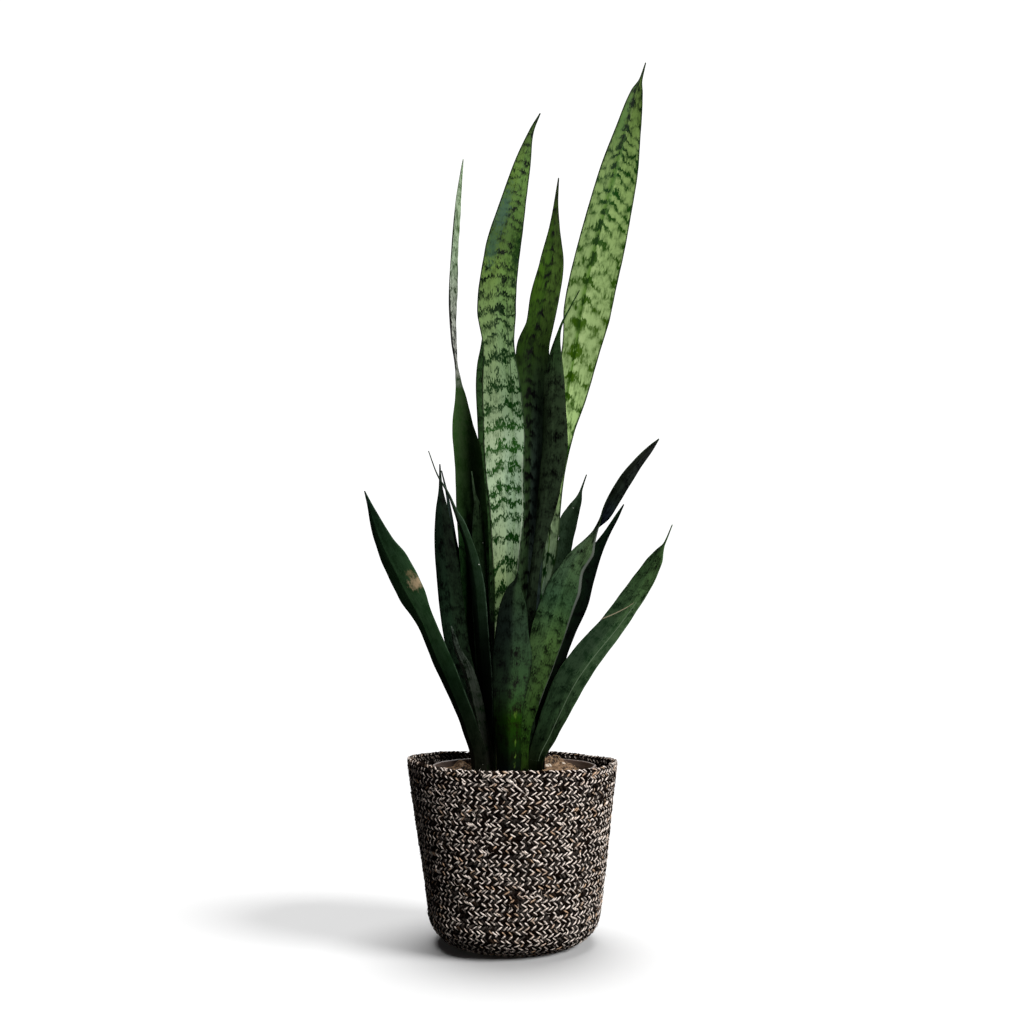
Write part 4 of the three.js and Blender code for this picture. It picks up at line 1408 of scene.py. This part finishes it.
            (400, (22, 33, 23), (1, 1, 1), 0.2), (470, (25, 38, 28), (1, 1, 1), 0.2),
        ),
        sides=((0.8, 0.76, 0.73), (1.18, 1.24, 1.27)),
    ),
    Leaf(
        Skin.DEEP, "left_behind", 9,
        (
            (-37, 26, 164, 13, 160), (-41, 26, 230, 15, 160), (-48, 26, 291, 18, 160),
            (-53, 26, 333, 19, 160), (-58, 25, 366, 15, 160), (-63, 25, 394, 10, 160),
            (-65, 24, 417, 6, 160), (-69, 24, 444, 3, 160), (-75, 23, 470, 1.4, 160),
        ),
        (
            (160, (29, 34, 34), (12, 32, 20), 0.15), (300, (39, 49, 46), (18, 45, 29), 0.2),
            (400, (47, 55, 54), (21, 51, 33), 0.2), (470, (53, 62, 61), (26, 57, 38), 0.2),
        ),
        sides=((0.55, 0.55, 0.55), (1.7, 1.7, 1.7)),
    ),
    Leaf(
        Skin.DEEP, "short_right", 10,
        (
            (18, 34, 163, 17, 30), (26, 36, 229, 17, 30), (37, 38, 291, 16, 28), (46, 40, 344, 16, 26),
            (53, 42, 376, 17, 24), (57, 43, 397, 17, 22), (59, 44, 414, 21, 22), (66, 45, 431, 15, 22),
            (72, 46, 443, 8, 22), (75, 46, 453, 3, 22), (81, 47, 470, 1.4, 22),
        ),
        (
            (160, (15, 25, 15), (4, 10, 3), 0.15), (300, (23, 37, 22), (6, 17, 5), 0.2),
            (400, (27, 41, 27), (7, 19, 6), 0.2), (470, (32, 46, 31), (10, 23, 8), 0.2),
        ),
        spacing=12, sides=((1.54, 1.4, 1.54), (0.66, 0.72, 0.66)),
    ),
    Leaf(
        Skin.FRESH, "twisted", 11,
        (
            (6, -34, 170, 20, 180), (7, -35, 196, 21, 180), (15, -38, 230, 24, 180),
            (28, -42, 271, 29, 178), (37, -45, 305, 35, 174), (49, -48, 338, 35, 164),
            (60, -50, 363, 24, 154), (69, -50, 376, 24, 142), (75.5, -50, 387, 17, 126),
            (83, -50, 399, 14, 96), (91, -49, 413, 20, 66), (99, -47, 427, 19, 50),
            (110, -45, 445, 17, 42), (125, -43, 465, 11.5, 38), (139, -40, 481, 7, 36),
            (148, -39, 491, 1.4, 35),
        ),
        (
            (165, (27, 41, 10), (1, 1, 1), 0.24), (200, (41, 72, 23), (1, 2, 1), 0.32),
            (245, (60, 86, 44), (1, 1, 1), 0.32), (290, (73, 102, 55), (1, 9, 1), 0.32),
            (330, (58, 87, 57), (2, 25, 3), 0.32), (385, (77, 100, 67), (1, 1, 1), 0.32),
            (404, (24, 30, 39), (1, 1, 1), 0.32), (430, (22, 30, 22), (1, 1, 1), 0.32),
            (491, (37, 40, 35), (1, 1, 1), 0.32),
        ),
        marking=Marking.ZIGZAG, spacing=15, lip=(46, 64, 38),
        # The curled margin's pale grey is painted sheen.
        sides=((0.89, 0.88, 0.82), (1.12, 1.09, 1.21)), curl_sheen_grey=92,
        curl=(
            (180, 0), (200, 0.2), (230, 0.3), (290, 0.4), (318, 1.1), (345, 2.0), (375, 1.5), (398, 0.4),
            (410, 0),
        ),
    ),
    Leaf(
        Skin.DEEP, "right_inner", 12,
        (
            (27, 8, 166, 15, 200), (38, 10, 230, 17, 200), (49, 12, 276, 19, 200), (59, 13, 303, 19, 200),
            (71, 14, 330, 20, 200), (79, 15, 358, 19, 200), (88, 16, 381, 14, 200), (101, 17, 404, 7, 200),
            (110, 18, 419, 5, 200), (118, 19, 433, 1.4, 200),
        ),
        (
            (160, (5, 11, 5), (1, 1, 1), 0.15), (300, (9, 17, 9), (1, 1, 1), 0.2),
            (470, (11, 26, 15), (1, 1, 1), 0.2),
        ),
        sides=((1.02, 0.88, 1.06), (0.96, 1.13, 0.94)),
    ),
    Leaf(
        Skin.FRESH, "low_right", 13,
        (
            (24, -18, 168, 17, -35), (36.5, -18, 200, 27, -36), (46.5, -17, 222, 33, -38),
            (59, -15, 247, 35, -38), (79, -12, 276, 34, -38), (103, -9, 305, 29, -40),
            (118, -6, 325, 28, -42), (133, -3, 346, 29, -45), (147, 1, 370, 22, -48),
            (153, 3, 382, 11, -50), (158, 5, 390, 3, -50), (167, 8, 410, 1.4, -50),
        ),
        (
            (165, (14, 15, 1), (1, 16, 1), 0.19), (215, (45, 67, 41), (1, 2, 1), 0.25),
            (290, (54, 72, 51), (13, 42, 17), 0.25), (350, (61, 87, 51), (1, 1, 1), 0.25),
            (410, (50, 72, 40), (1, 1, 1), 0.25),
        ),
        spacing=16, lip=(62, 84, 56), sides=((0.59, 0.61, 0.62), (1.58, 1.54, 1.49)),
        seams=((-1, 303, 0.35, 331), (0.2, 172, 0.45, 332)),
    ),
    Leaf(
        Skin.FRESH, "front", 14,
        (
            (-3, -46, 171, 23, 180), (-4, -50, 216, 28, 180), (-2, -54, 246, 34, 180),
            (0, -58, 271, 39, 180), (0, -61, 292, 33, 180), (1, -65, 321, 26, 180), (2, -67, 337, 15, 180),
            (5, -68, 346, 6, 180), (6, -69, 355, 1.4, 180),
        ),
        (
            (165, (4, 6, 9), (3, 7, 1), 0.15), (215, (20, 45, 3), (13, 6, 3), 0.2),
            (245, (43, 64, 40), (14, 4, 13), 0.2), (300, (32, 45, 35), (2, 3, 1), 0.2),
            (355, (32, 45, 29), (1, 11, 1), 0.2),
        ),
        lip=(40, 58, 38), sides=((1.59, 1.7, 1.42), (0.62, 0.58, 0.68)),
        patches=(
            (192, -0.5, 5, 0.16, (80, 110, 36)), (219, -0.5, 5, 0.2, (80, 110, 36)),
            (179, -0.52, 4, 0.12, (84, 112, 40)), (171, -0.5, 4, 0.12, (84, 112, 40)),
        ),
    ),
    Leaf(
        Skin.DEEP, "front_left", 15,
        (
            (-25, -20, 169, 18, 140), (-31, -22, 205, 16, 140), (-37, -24, 232, 17, 140),
            (-44, -26, 259, 15, 140), (-52, -28, 276, 10, 140), (-57, -30, 290, 7, 140),
            (-60, -31, 304, 1.4, 140),
        ),
        (
            (160, (74, 73, 64), (12, 63, 1), 0.15), (300, (96, 109, 96), (1, 5, 1), 0.2),
            (470, (123, 133, 121), (1, 8, 1), 0.2),
        ),
        lip=(14, 22, 12), sides=((0.55, 0.55, 0.55), (1.7, 1.7, 1.7)),
    ),
    Leaf(
        Skin.DEEP, "mid_left", 16,
        (
            (-22, 8, 166, 14, 190), (-28, 6, 271, 19, 190), (-32, 4, 331, 18, 190), (-34, 2, 376, 16, 190),
            (-35, 1, 409, 12, 190), (-36, 0, 429, 7, 190), (-39, 0, 442, 3, 190), (-42, 0, 465, 1.4, 190),
        ),
        (
            (160, (11, 27, 11), (2, 21, 1), 0.15), (300, (23, 33, 23), (4, 25, 2), 0.2),
            (400, (33, 51, 29), (2, 14, 1), 0.2), (470, (74, 96, 66), (1, 1, 1), 0.2),
        ),
        lip=(80, 96, 80),
    ),
    Leaf(
        Skin.DEEP, "back_centre", 17,
        (
            (2, 44, 163, 20, -5), (4, 52, 230, 28, -5), (6, 68, 310, 34, -5), (8, 92, 390, 30, -5),
            (9, 112, 440, 16, -5), (10, 124, 466, 1.4, -5),
        ),
        (
            (160, (26, 38, 26), (18, 28, 17), 0.15), (300, (36, 54, 36), (25, 39, 25), 0.2),
            (470, (48, 68, 48), (34, 50, 34), 0.2),
        ),
    ),
    Leaf(
        Skin.DEEP, "back_right", 18,
        (
            (26, 50, 170, 18, 30), (34, 58, 215, 25, 32), (43, 74, 280, 30, 35), (53, 95, 335, 26, 38),
            (61, 111, 368, 13, 40), (65, 121, 388, 1.4, 40),
        ),
        (
            (160, (53, 61, 49), (1, 1, 1), 0.15), (300, (69, 82, 65), (1, 1, 1), 0.2),
            (470, (89, 102, 83), (1, 1, 1), 0.2),
        ),
    ),
    Leaf(
        Skin.DEEP, "back_low", 19,
        (
            (-22, 42, 163, 18, -30), (-27, 54, 215, 25, -30), (-34, 76, 275, 30, -30),
            (-41, 102, 325, 25, -30), (-46, 118, 352, 12, -30), (-50, 130, 368, 1.4, -30),
        ),
        (
            (160, (26, 38, 26), (18, 28, 17), 0.15), (300, (36, 54, 36), (25, 39, 25), 0.2),
            (470, (48, 68, 48), (34, 50, 34), 0.2),
        ),
    ),
)


@dataclass
class Foliage:
    """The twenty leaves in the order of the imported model, in five skins."""

    finishes: tuple[LeafFinish, ...] = FINISHES
    leaves: tuple[Leaf, ...] = LEAVES

    def build(self) -> None:
        """Make the skins and every leaf in its own."""
        skins = {finish.skin: finish.material() for finish in self.finishes}
        for leaf in self.leaves:
            leaf.build(skins[leaf.skin])


class LampKind(Enum):
    """The kinds of light in the studio."""

    AREA = "AREA"
    SUN = "SUN"


@dataclass(frozen=True)
class Lamp:
    """A light aimed at a height on the plant's axis.

    It stands turn degrees to the right of the camera's axis and rise degrees above the floor. An
    area light has its power in watts and its side in metres as size, and a sun has watts a square
    metre and its spread in degrees.
    """

    name: str
    kind: LampKind
    turn: float
    rise: float
    power: float
    size: float
    target: float = 0.4
    reach: float = 2.2

    def lit(self) -> bpy.types.Object:
        """The light's object, linked to the scene."""
        data = bpy.data.lights.new(self.name, self.kind.value)
        data.energy = self.power
        if self.kind is LampKind.SUN:
            data.angle = math.radians(self.size)
        else:
            data.size = self.size
        lamp = bpy.data.objects.new(self.name, data)
        turn, rise = math.radians(self.turn), math.radians(self.rise)
        way = Vector((math.sin(turn) * math.cos(rise), -math.cos(turn) * math.cos(rise), math.sin(rise)))
        lamp.location = Vector((0, 0, self.target)) + way * self.reach
        lamp.rotation_euler = way.to_track_quat("Z", "Y").to_euler()
        bpy.context.scene.collection.objects.link(lamp)
        return lamp


@dataclass
class Studio:
    """A white sweep, a soft key light from the right, weak fill, and the photograph's viewpoint."""

    distance: float = 1.05
    eye_height: float = 0.27109
    tilt: float = 8.1874
    lens: float = 36.027
    sensor: float = 36
    air: float = 0.03
    backdrop: float = 1.1
    floor_reach: float = 9000
    floor_grey: float = 0.8
    plant_lamps: tuple[Lamp, ...] = (
        Lamp("key", LampKind.AREA, 33, 36, 80, 1.1),
        Lamp("fill", LampKind.AREA, -48, 12, 0.8, 1.6),
        Lamp("back", LampKind.AREA, 165, 35, 28, 1.6),
        Lamp("top", LampKind.AREA, 20, 80, 2, 1.4),
    )
    floor_lamps: tuple[Lamp, ...] = (
        Lamp("floor_side", LampKind.SUN, 66, 32, 3.0, 26),
        Lamp("floor_top", LampKind.SUN, 178, 74, 2.9, 50),
    )

    def camera(self) -> None:
        """The camera on the plant's axis in front of it, tilted up a little."""
        data = bpy.data.cameras.new("camera")
        data.lens = self.lens
        data.sensor_width = self.sensor
        eye = bpy.data.objects.new("camera", data)
        eye.location = (0, -self.distance, self.eye_height)
        eye.rotation_euler = (math.radians(90 + self.tilt), 0, 0)
        bpy.context.scene.collection.objects.link(eye)
        bpy.context.scene.camera = eye

    def sweep(self) -> bpy.types.Object:
        """The pale floor, which sends no light back to the plant."""
        corners = np.array([(-1, -1, 0), (1, -1, 0), (1, 1, 0), (-1, 1, 0)], float)
        floor = Surface(corners * self.floor_reach, [np.array([[0, 1, 2, 3]])]).made("floor")
        sketch = Sketch("floor_white")
        grey = (self.floor_grey,) * 3
        sketch.feed(sketch.shader, {"Base Color": grey, "Roughness": 1.0, "Specular IOR Level": 0.0})
        floor.data.materials.append(sketch.material)
        floor.visible_diffuse = False
        floor.visible_glossy = False
        return floor

    def sky(self) -> None:
        """White behind the plant, and a little even light from all round."""
        world = bpy.data.worlds.new("studio")
        world.use_nodes = True
        nodes, links = world.node_tree.nodes, world.node_tree.links
        dim = nodes["Background"]
        dim.inputs[0].default_value = (1, 1, 1, 1)
        dim.inputs[1].default_value = self.air
        seen = nodes.new("ShaderNodeBackground")
        seen.inputs[0].default_value = (1, 1, 1, 1)
        seen.inputs[1].default_value = self.backdrop
        mix = nodes.new("ShaderNodeMixShader")
        links.new(nodes.new("ShaderNodeLightPath").outputs["Is Camera Ray"], mix.inputs[0])
        links.new(dim.outputs[0], mix.inputs[1])
        links.new(seen.outputs[0], mix.inputs[2])
        links.new(mix.outputs[0], nodes["World Output"].inputs[0])
        bpy.context.scene.world = world

    def build(self) -> None:
        """Set the camera, the floor and the lights, and part the floor's light from the plant's.

        Of the plant, only the basket's wall casts a shadow on the floor.
        """
        bpy.context.scene.view_settings.view_transform = "Standard"
        self.camera()
        self.sky()
        floor = self.sweep()
        only, others = bpy.data.collections.new("floor_lit"), bpy.data.collections.new("plant_lit")
        only.objects.link(floor)
        others.objects.link(floor)
        others.collection_objects[0].light_linking.link_state = "EXCLUDE"
        for lamp in self.plant_lamps:
            lamp.lit().light_linking.receiver_collection = others
        shade = bpy.data.collections.new("casts_on_floor")
        for piece in bpy.data.objects:
            if piece.name.startswith(("basket_core", "basket_braid")):
                shade.objects.link(piece)
        for lamp in self.floor_lamps:
            linking = lamp.lit().light_linking
            linking.receiver_collection = only
            linking.blocker_collection = shade


def main() -> None:
    """Build the basket, the planting and the leaves, then the studio round them."""
    logging.basicConfig(level=logging.INFO, format="%(name)s: %(message)s")
    for part in (Basket(), Planting(), Foliage()):
        LOG.info("building %s", type(part).__name__)
        part.build()
    Studio().build()


if __name__ == "__main__":
    main()
